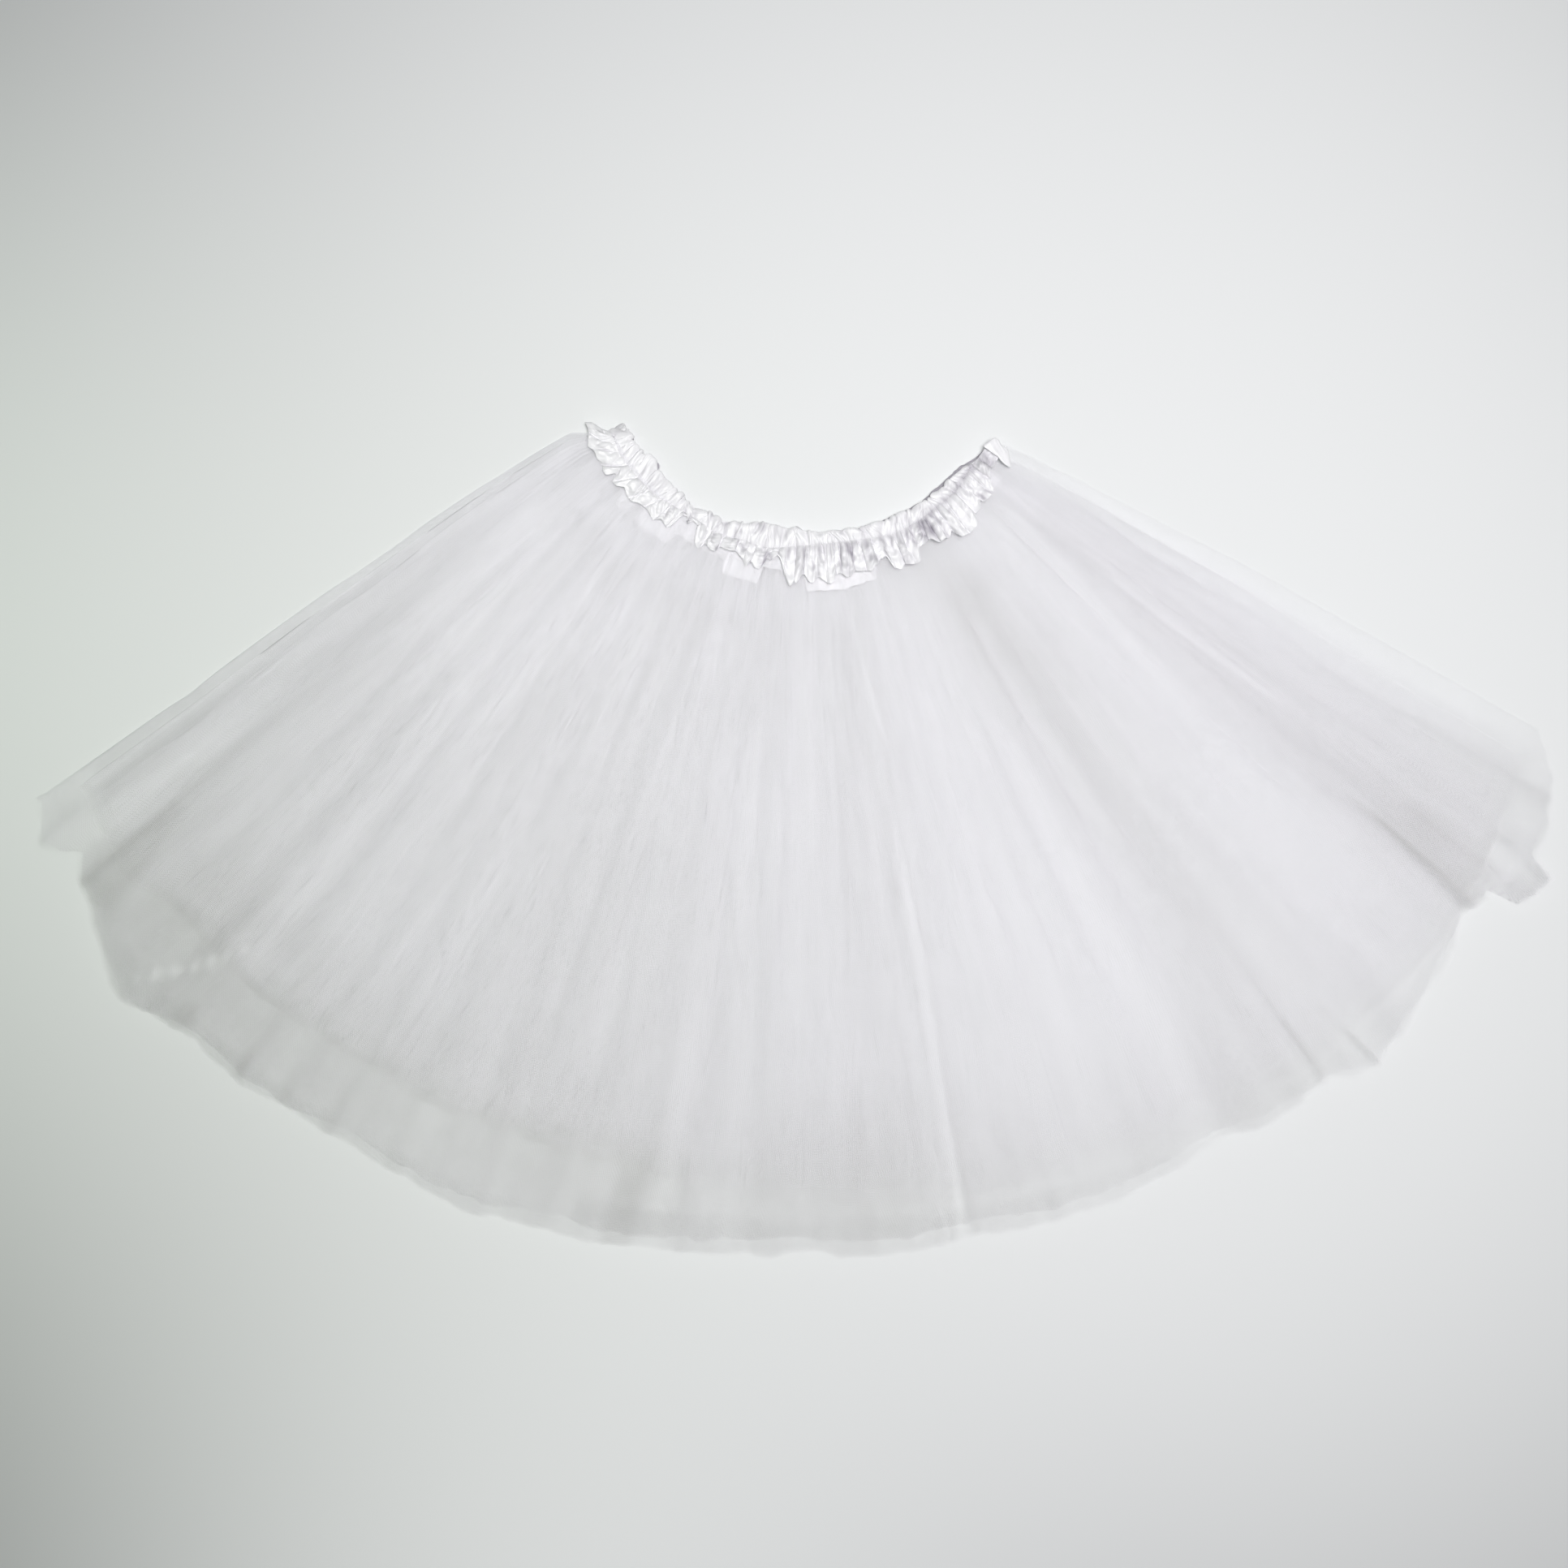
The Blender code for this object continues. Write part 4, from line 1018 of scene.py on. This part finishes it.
def satinFrill(material, outerHeight, outerLayer):
    def onTulle(share):
        return outerHeight(0, share, 0.0 * share + frill["lobeRadius"]) + frill["clearOfTulle"]

    share, height, aside, out, up = bandPath(frill, frill["insets"], onTulle, level(frill["backHeight"]))
    rows = frill["rows"]
    mesh, column, row = clothGrid("waistband_ruffled_frill", len(share) - 1, rows)
    loose = (np.arange(rows + 1) / rows)[:, None]
    angle = angleAt(share, fan["waistRadius"])
    along = wayRound(angle, height, casing["measuredAt"]) - casing["endInsets"][0]
    slant = wanders(along, frill["slants"]) * loose
    lobe, place, width = laidWaves(angle + shadeOf("lean", angle) * loose, frillLobes)
    lobe = lobe + np.where(up < 0.0, 60, 0)
    width = np.radians(width) * frill["lobeRadius"]
    pleat, pleatPlace, _ = unevenWaves(along + 0.6 * slant, *casing["gathers"])
    crinkle, crinklePlace, _ = unevenWaves(along - slant, *frill["crinkles"])
    start = bandLine("stitching", angle) - 0.0011
    depth = bandLine("frillEdge", angle) - start
    crest = bump(place, 0.6)
    inFront = np.clip(up, 0.0, 1.0)
    flare = (0.15 + 0.85 * np.sin(0.74 * math.pi * loose ** 0.8)) * (0.35 + 0.65 * inFront)

    # its lobes, tilted and crumpled
    swell = frill["lobeHeight"] * (0.80 + 0.40 * wander(lobe, 1.0, 83)) * crest
    swell = swell * np.clip(width / 0.0070, 0.45, 1.2)
    swell = swell + frill["tilt"] * wander(lobe, 1.0, 84) * (place - 0.5) * width
    down = start + 0.016 * loose
    creased = patches(angle, down, 1.3, 0.0036, 88)
    creased = creased + 0.45 * patches(angle + 200.0 * (down - 0.12), down, 0.7, 0.0024, 94)
    calmer, *calmAngles = frill["calmerLeft"]
    creased = creased * (calmer + (1.0 - calmer) * smoothStep(*calmAngles, angle))
    swell = swell + frill["crumple"] * creased
    swell = swell * flare * np.clip(depth / 0.0080, 0.12, 1.0)

    # fine gathers from the stitching
    gather = frill["gatherHeight"] * bump(pleatPlace, 0.7) * (1.0 - 0.65 * loose)
    gather = gather * (0.75 + 0.5 * wander(pleat, 1.0, 76)) * np.clip(depth / 0.0060, 0.35, 1.0)
    fine = (0.5 + 0.5 * wander(crinkle, 1.0, 90)) * bump(crinklePlace)
    gather = gather + frill["crinkleHeight"] * fine

    # where each point lies round the waist and out from it
    sideways = -frill["pinch"] * np.sin(2 * math.pi * place) * (0.85 + 0.35 * wander(lobe, 1.0, 85))
    sideways = sideways * width * (0.15 + 0.85 * np.sin(0.74 * math.pi * loose ** 0.8))
    leaning = frill["lean"] * wander(lobe, 1.0, 86) * width * crest
    sideways = sideways + leaning * loose ** 1.4 * (0.35 + 0.65 * inFront)
    edge = bandLine("frillEdge", angle + np.degrees(sideways[-1] / frill["lobeRadius"]))
    radius = start + (rounded(edge, frill["rounding"]) - start) * loose
    radius = radius + 0.0004 * wander(along, 0.0030, 87) * loose
    radius = radius - backRise(share, radius) * np.clip((1.0 - up) / 2, 0.0, 1.0)
    ending = np.maximum(0.0, 1.0 - (angle - angle[0]) / 10.0) ** 2 * frill["endSlant"] * (1.0 - loose)
    spill = np.maximum(0.0, 1.0 - 2.0 * share) * 0.0004
    angles = angle + ending + np.degrees((sideways + aside - spill + out * (swell + gather)) / radius)

    # it leaves the casing high and comes down on the tulle
    leaving = casingFront(np.clip(share, 0.0, 1.0)) + 0.0013
    base = np.where(up > 0.999, leaving + (height - leaving) * loose ** 0.8, height)
    lift = np.where(up < -0.5, swell * 0.25 + gather * 0.3, (swell + gather) * up)
    points = toWorld(radius, angles, base + lift)
    ahead = points[:, up > 0.5]
    clearOf(ahead, outerLayer, frill["clearOfFolds"])
    points[:, up > 0.5] = ahead
    # painted shade in the gaps between lobes and gathers, along the stitching and in hollows
    gapShade = gap(place) * (0.20 + 0.80 * loose) + 0.7 * gap(pleatPlace) * (1.0 - loose)
    dull = (shadeOf("gapShade", angle) * gapShade + bandPaintedShade(points)) * inFront
    # painted shade on the frill's back, which lies under it
    dull = dull + 0.6 * np.clip(-up, 0.0, 1.0)
    weave = (along[column], row / rows * frill["cut"][1])
    layGrid(mesh, column, row, points, weave, dull=dull)
    piece = finishCloth(mesh, material, "waistband_frill")


flap = {
    "cut": (0.58, 0.022),
    "cutArea": 0.0078,  # its lower edge is cut in tongues
    "columns": (420, 260),
    "rows": 8,
    "turn": 8,
    "inset": 0.056,
    "measuredAt": 0.132,
    "clear": 0.0013,
    "readAt": 0.135,  # radius at which it reads the height of the tulle under it
    "waves": (0.019, 91, 0.5, 1.5),
    "ripple": 0.0004,
    "angles": (-60, -49, -48.5, -45.7, -45, -43, -42, -34, -33, -21, -20, -12, -11.4, -2, -1, 7.5, 8.5,
               14.5, 15.5, 58),
    "edge": (0.136, 0.136, 0.145, 0.145, 0.136, 0.136, 0.1446, 0.144, 0.136, 0.136, 0.144, 0.1436, 0.134,
             0.134, 0.1458, 0.1456, 0.1444, 0.1444, 0.134, 0.134),
}


def satinFlap(material, innerHeight):
    def under(share):
        return innerHeight(0, share, 0.0 * share + flap["readAt"]) - flap["clear"]

    def over(share):
        return innerHeight(1, share, 0.0 * share + flap["readAt"]) + flap["clear"]

    share, height, aside, _, up = bandPath(flap, (flap["inset"], flap["inset"]), under, over)
    rows = flap["rows"]
    mesh, column, row = clothGrid("waistband_turned_flap", len(share) - 1, rows)
    down = (np.arange(rows + 1) / rows)[:, None]
    angle = angleAt(share, fan["waistRadius"])
    start = bandLine("stitching", angle) + 0.0002
    along = wayRound(angle, height, flap["measuredAt"])
    number, place, _ = unevenWaves(along, *flap["waves"])
    edge = np.interp(angle, flap["angles"], flap["edge"]) + 0.0010 * wander(number, 1.0, 92)
    edge = edge + 0.0005 * wander(along, 0.004, 93)
    radius = start + (edge - start) * down
    ripple = flap["ripple"] * np.sin(4 * math.pi * place) * up
    points = toWorld(radius, angle + np.degrees(aside / radius), height + ripple)
    weave = (along[column], row / rows * flap["cut"][1])
    layGrid(mesh, column, row, points, weave, dull=0.0 * radius)
    piece = finishCloth(mesh, material, "waistband_inner_flap")


foldedEnd = {
    "cut": (0.020, 0.0175),
    "around": 40,
    "rows": 30,
    "angle": 56.5,
    "startRadius": 0.1164,
    "endRadius": 0.1312,
    "halfWidth": 0.0042,
    "halfThickness": 0.0011,
    "height": 0.0122,
    "waist": (0.16, 0.52, 0.10),  # how much narrower it is, where and over how much of its length
    "sway": 0.0007,
    "crumple": 0.00045,
    "slopeDown": 0.0026,
    "slopeAcross": 0.25,
    "slant": (0.0013, 0.0050),
}


def satinFoldedEnd(material):
    # the end of the band, folded back flat over the right side
    around, rows = foldedEnd["around"], foldedEnd["rows"]
    mesh, column, row = clothGrid("waistband_folded_end", around, rows)
    turnRound = (np.arange(around + 1) / around * 2 * math.pi)[None, :]
    down = (np.arange(rows + 1) / rows)[:, None]
    narrower, narrowAt, narrowOver = foldedEnd["waist"]
    waist = 1.0 - narrower * np.exp(-((down - narrowAt) / narrowOver) ** 2)
    closing = np.sqrt(np.maximum(0.0, 1.0 - np.abs(2.0 * down - 1.0) ** 8))
    across = np.sign(np.cos(turnRound)) * np.abs(np.cos(turnRound)) ** 0.7
    across = foldedEnd["halfWidth"] * across * waist
    across = across * (0.75 + 0.25 * closing) + foldedEnd["sway"] * np.sin(5.0 * down + 0.6)
    thick = foldedEnd["halfThickness"] * np.sin(turnRound) * (0.15 + 0.85 * closing)
    crumple = wander(1.6 * across / 0.004 + 3.0 * down, 0.45, 95) * np.clip(np.sin(turnRound), 0.0, 1.0)
    slope = foldedEnd["slopeDown"] * (0.5 - down) - foldedEnd["slopeAcross"] * across
    slantTop, slantLess = foldedEnd["slant"]
    radius = foldedEnd["startRadius"] + (foldedEnd["endRadius"] - foldedEnd["startRadius"]) * down
    radius = radius + across / foldedEnd["halfWidth"] * (slantTop - slantLess * down)
    height = foldedEnd["height"] + thick + foldedEnd["crumple"] * crumple + slope
    points = toWorld(radius, foldedEnd["angle"] + np.degrees(across / radius), height)
    weave = (column / around * foldedEnd["cut"][0], row / rows * foldedEnd["cut"][1])
    layGrid(mesh, column, row, points, weave, dull=0.0 * thick)
    piece = finishCloth(mesh, material, "waistband_casing")


stitching = {
    "shares": (0.060, 0.950),
    "reach": 0.240,
    "every": 0.0036,
    "length": 0.0024,
    "thickness": 0.00016,
    "segments": 7,
    "above": 0.0014,
    "backHeight": 0.0012,
    "lean": 3.0,
}


def bandStitches(material):
    mesh = bpy.data.meshes.new("waistband_stitching")
    shape = bmesh.new()
    shares = np.linspace(*stitching["shares"], int(stitching["reach"] / stitching["every"]))
    angles = angleAt(shares, fan["waistRadius"])
    radii = bandLine("stitching", angles) - 0.0002
    lying = Matrix.Rotation(math.radians(90.0), 4, "Y")
    thickness = stitching["thickness"]
    for i, (share, angle, radius) in enumerate(zip(shares, angles, radii)):
        lean = stitching["lean"] * math.sin(2.3 * i)
        turned = Matrix.Rotation(math.radians(angle + lean), 4, "Z") @ lying
        spots = (
            toWorld(radius, angle, casingFront(share) + stitching["above"]),
            toWorld(radius - backRise(share, radius), angle, stitching["backHeight"]),
        )
        for spot in spots:
            bmesh.ops.create_cone(
                shape, cap_ends=True, segments=stitching["segments"], depth=stitching["length"],
                radius1=thickness, radius2=thickness, matrix=Matrix.Translation(Vector(spot)) @ turned)
    shape.to_mesh(mesh)
    shape.free()
    addPiece(mesh, material)


def newMaterial(name):
    material = bpy.data.materials.new(name)
    material.use_nodes = True
    return material, material.node_tree, material.node_tree.nodes["Principled BSDF"]


def mathNode(tree, operation, *values):
    node = tree.nodes.new("ShaderNodeMath")
    node.operation = operation
    for socket, value in zip(node.inputs, values):
        if isinstance(value, (int, float)):
            socket.default_value = value
        else:
            tree.links.new(value, socket)
    return node.outputs[0]


def newGroup(name, inputs, outputs):
    # a group that reads the cloth's own places, split into across and down
    group = bpy.data.node_groups.new(name, "ShaderNodeTree")
    group.interface.new_socket("Weave", in_out="INPUT", socket_type="NodeSocketVector")
    for inOut, names in (("INPUT", inputs), ("OUTPUT", outputs)):
        for socket in names:
            group.interface.new_socket(socket, in_out=inOut, socket_type="NodeSocketFloat")
    start = group.nodes.new("NodeGroupInput")
    end = group.nodes.new("NodeGroupOutput")
    split = group.nodes.new("ShaderNodeSeparateXYZ")
    group.links.new(start.outputs["Weave"], split.inputs[0])
    return group, start.outputs, end.inputs, split.outputs


def hexNetGroup():
    # 1 on the threads of a six-sided net and 0 in its holes, from its UV map in metres
    group, given, result, place = newGroup("hexagonNet", ("Cell", "Thread"), ("Mask",))
    tall = math.sqrt(3.0)
    u = mathNode(group, "DIVIDE", place[0], given["Cell"])
    v = mathNode(group, "DIVIDE", place[1], given["Cell"])

    def fromCentre(value, shift, period):
        # distance along one axis from the middle of the cell it falls in
        within = mathNode(group, "FLOORED_MODULO", mathNode(group, "ADD", value, shift), period)
        return mathNode(group, "ABSOLUTE", mathNode(group, "SUBTRACT", within, period / 2))

    def toCentre(shiftU, shiftV):
        # six-sided distance to the nearest centre of one of the two lattices of cells
        a = fromCentre(u, shiftU, 1.0)
        b = fromCentre(v, shiftV, tall)
        slanted = mathNode(group, "MULTIPLY_ADD", b, tall / 2, mathNode(group, "MULTIPLY", a, 0.5))
        return mathNode(group, "MAXIMUM", a, slanted)

    nearest = mathNode(group, "MINIMUM", toCentre(0.0, 0.0), toCentre(0.5, tall / 2))
    fromThread = mathNode(group, "SUBTRACT", 0.5, nearest)
    group.links.new(mathNode(group, "LESS_THAN", fromThread, given["Thread"]), result["Mask"])
    return group


satinLook = {
    "threads": 9000.0,
    "warp": 0.5,
    "weft": 0.2,
    "threadHeight": 0.12,
    "crumpleScale": 420.0,
    "bumpStrength": 0.30,
    "bumpHeight": 0.0004,
    "whites": ((0.880, 0.880, 0.892), (0.932, 0.931, 0.941)),
    # colour of the painted shade in the band's gaps and hollows
    "dull": (0.390, 0.372, 0.418, 1.0),
    "roughness": (0.37, 0.10, 0.35),  # least, more where mottled, more where shade is painted
    "sheen": 0.70,
    "anisotropy": 0.3,
}


def satinWeaveGroup():
    # fine satin weave with soft crumples, as a height
    group, given, result, place = newGroup("satinWeave", ("Threads",), ("Height", "Mottle"))
    u = mathNode(group, "MULTIPLY", place[0], given["Threads"])
    v = mathNode(group, "MULTIPLY", place[1], given["Threads"])
    warp = mathNode(group, "SINE", mathNode(group, "ADD", u, mathNode(group, "MULTIPLY", v, 0.2)))
    weft = mathNode(group, "MULTIPLY", mathNode(group, "SINE", v), satinLook["weft"])
    threads = mathNode(group, "ADD", mathNode(group, "MULTIPLY", warp, satinLook["warp"]), weft)
    crumple = group.nodes.new("ShaderNodeTexNoise")
    crumple.inputs["Scale"].default_value = satinLook["crumpleScale"]
    crumple.inputs["Detail"].default_value = 3.0
    group.links.new(given["Weave"], crumple.inputs["Vector"])
    threads = mathNode(group, "MULTIPLY", threads, satinLook["threadHeight"])
    group.links.new(mathNode(group, "ADD", threads, crumple.outputs["Fac"]), result["Height"])
    group.links.new(crumple.outputs["Fac"], result["Mottle"])
    return group


def placeGroup(tree, group, socket, value):
    # puts a group in a material, reading the piece's own UV map
    uv = tree.nodes.new("ShaderNodeUVMap")
    uv.uv_map = "weave"
    node = tree.nodes.new("ShaderNodeGroup")
    node.node_tree = group
    node.inputs[socket].default_value = value
    tree.links.new(uv.outputs["UV"], node.inputs["Weave"])
    return node


def attributeOf(tree, name):
    node = tree.nodes.new("ShaderNodeAttribute")
    node.attribute_name = name
    return node.outputs["Fac"]


def colourRamp(tree, value, first, second, low=0.0, high=1.0):
    ramp = tree.nodes.new("ShaderNodeValToRGB")
    for element, place, colour in zip(ramp.color_ramp.elements, (low, high), (first, second)):
        element.position = place
        element.color = (*colour, 1.0)
    tree.links.new(value, ramp.inputs["Fac"])
    return ramp.outputs["Color"]


def tulleMaterial(spec):
    material, tree, shader = newMaterial("white_net_" + spec["node"])
    group = bpy.data.node_groups.get("hexagonNet") or hexNetGroup()
    net = placeGroup(tree, group, "Cell", spec["netCell"])
    tree.links.new(attributeOf(tree, "thread"), net.inputs["Thread"])
    tree.links.new(net.outputs["Mask"], shader.inputs["Alpha"])
    # the attribute edge is painted shade, which mixes each layer's colour towards its darker shaded
    # colour
    shaded = [share * part for share, part in zip(spec["shaded"], spec["colour"])]
    colour = colourRamp(tree, attributeOf(tree, "edge"), spec["colour"], shaded)
    tree.links.new(colour, shader.inputs["Base Color"])
    shader.inputs["Roughness"].default_value = 0.6
    shader.inputs["Specular IOR Level"].default_value = 0.3
    return material


def satinMaterial():
    material, tree, shader = newMaterial("white_glossy_satin")
    weave = placeGroup(tree, satinWeaveGroup(), "Threads", satinLook["threads"])
    surface = tree.nodes.new("ShaderNodeBump")
    surface.inputs["Strength"].default_value = satinLook["bumpStrength"]
    surface.inputs["Distance"].default_value = satinLook["bumpHeight"]
    tree.links.new(weave.outputs["Height"], surface.inputs["Height"])
    tree.links.new(surface.outputs["Normal"], shader.inputs["Normal"])
    # painted shade mixes the satin towards a dark lilac grey and makes it rougher
    dull = attributeOf(tree, "dull")
    mix = tree.nodes.new("ShaderNodeMix")
    mix.data_type = "RGBA"
    tree.links.new(dull, mix.inputs[0])
    whites = colourRamp(tree, weave.outputs["Mottle"], *satinLook["whites"], 0.3, 0.7)
    tree.links.new(whites, mix.inputs[6])
    mix.inputs[7].default_value = satinLook["dull"]
    tree.links.new(mix.outputs[2], shader.inputs["Base Color"])
    least, mottled, moreInShade = satinLook["roughness"]
    rough = mathNode(tree, "MULTIPLY_ADD", weave.outputs["Mottle"], mottled, least)
    rough = mathNode(tree, "MULTIPLY_ADD", dull, moreInShade, rough)
    tree.links.new(rough, shader.inputs["Roughness"])
    shader.inputs["Specular IOR Level"].default_value = satinLook["sheen"]
    shader.inputs["Anisotropic"].default_value = satinLook["anisotropy"]
    return material


stage = {
    "pixel": 0.00045,  # metres of the garment to one pixel of a frame 1932 wide
    "frame": 1932,
    "frameCentre": (-0.0065, 0.0261),
    "garmentHeight": 0.006,
    "lens": 50.0,
    "sensor": 36.0,
    "floorSize": 6.0,
    "floorHeight": -0.0002,
    "floorColour": (0.775, 0.79, 0.785),
    "skyColour": (0.92, 0.98, 0.95),
    "skyStrength": 0.13,
}

# Soft lamps over the floor, pointing straight down: energy, cone in degrees, radius, place and colour.
lamps = (
    ("key", 191.0, 51.0, 0.30, (0.145, 0.095, 2.2), (1.0, 0.984, 1.004)),
    ("leftFill", 15.4, 38.0, 0.15, (-0.72, 0.13, 1.3), (0.86, 1.0, 0.85)),
    ("lowFill", 18.6, 31.0, 0.15, (-0.19, -0.62, 1.3), (1.0, 1.0, 0.98)),
    ("leftWash", 2.5, 50.0, 0.15, (-0.42, -0.03, 1.3), (0.40, 1.0, 0.0)),
)


def buildFloor():
    mesh = bpy.data.meshes.new("floor")
    shape = bmesh.new()
    bmesh.ops.create_grid(shape, x_segments=1, y_segments=1, size=stage["floorSize"] / 2)
    bmesh.ops.translate(shape, verts=shape.verts, vec=(0, 0, stage["floorHeight"]))
    shape.to_mesh(mesh)
    shape.free()
    floor = bpy.data.objects.new("floor", mesh)
    bpy.context.scene.collection.objects.link(floor)
    material, _, shader = newMaterial("pale_floor")
    shader.inputs["Base Color"].default_value = (*stage["floorColour"], 1.0)
    shader.inputs["Roughness"].default_value = 0.65
    shader.inputs["Specular IOR Level"].default_value = 0.25
    floor.data.materials.append(material)
    print("laid the floor")


def buildLights():
    world = bpy.data.worlds.new("studio")
    world.use_nodes = True
    sky = world.node_tree.nodes["Background"]
    sky.inputs["Color"].default_value = (*stage["skyColour"], 1.0)
    sky.inputs["Strength"].default_value = stage["skyStrength"]
    bpy.context.scene.world = world
    for name, energy, cone, radius, place, colour in lamps:
        light = bpy.data.lights.new(name, "SPOT")
        light.energy = energy
        light.color = colour
        light.spot_size = math.radians(cone)
        light.spot_blend = 1.0
        light.shadow_soft_size = radius
        lamp = bpy.data.objects.new(name, light)
        lamp.location = place
        bpy.context.scene.collection.objects.link(lamp)
    print("hung", len(lamps), "lamps")


def buildCamera():
    camera = bpy.data.cameras.new("camera")
    camera.lens = stage["lens"]
    camera.sensor_width = stage["sensor"]
    eye = bpy.data.objects.new("camera", camera)
    away = stage["pixel"] * stage["frame"] * stage["lens"] / stage["sensor"]
    eye.location = (*stage["frameCentre"], away + stage["garmentHeight"])
    scene = bpy.context.scene
    scene.collection.objects.link(eye)
    scene.camera = eye
    scene.view_settings.view_transform = "Standard"
    scene.cycles.transparent_max_bounces = 64
    scene.cycles.diffuse_bounces = 6


buildCamera()
buildFloor()
buildLights()
satin = satinMaterial()
tulleLayers = [tulleLayer(layer) for layer in layers]
satinCasing(satin)
satinFrill(satin, wallHeights("outer_tulle"), tulleLayers[0])
satinFlap(satin, wallHeights("inner_tulle"))
satinFoldedEnd(satin)
bandStitches(satin)
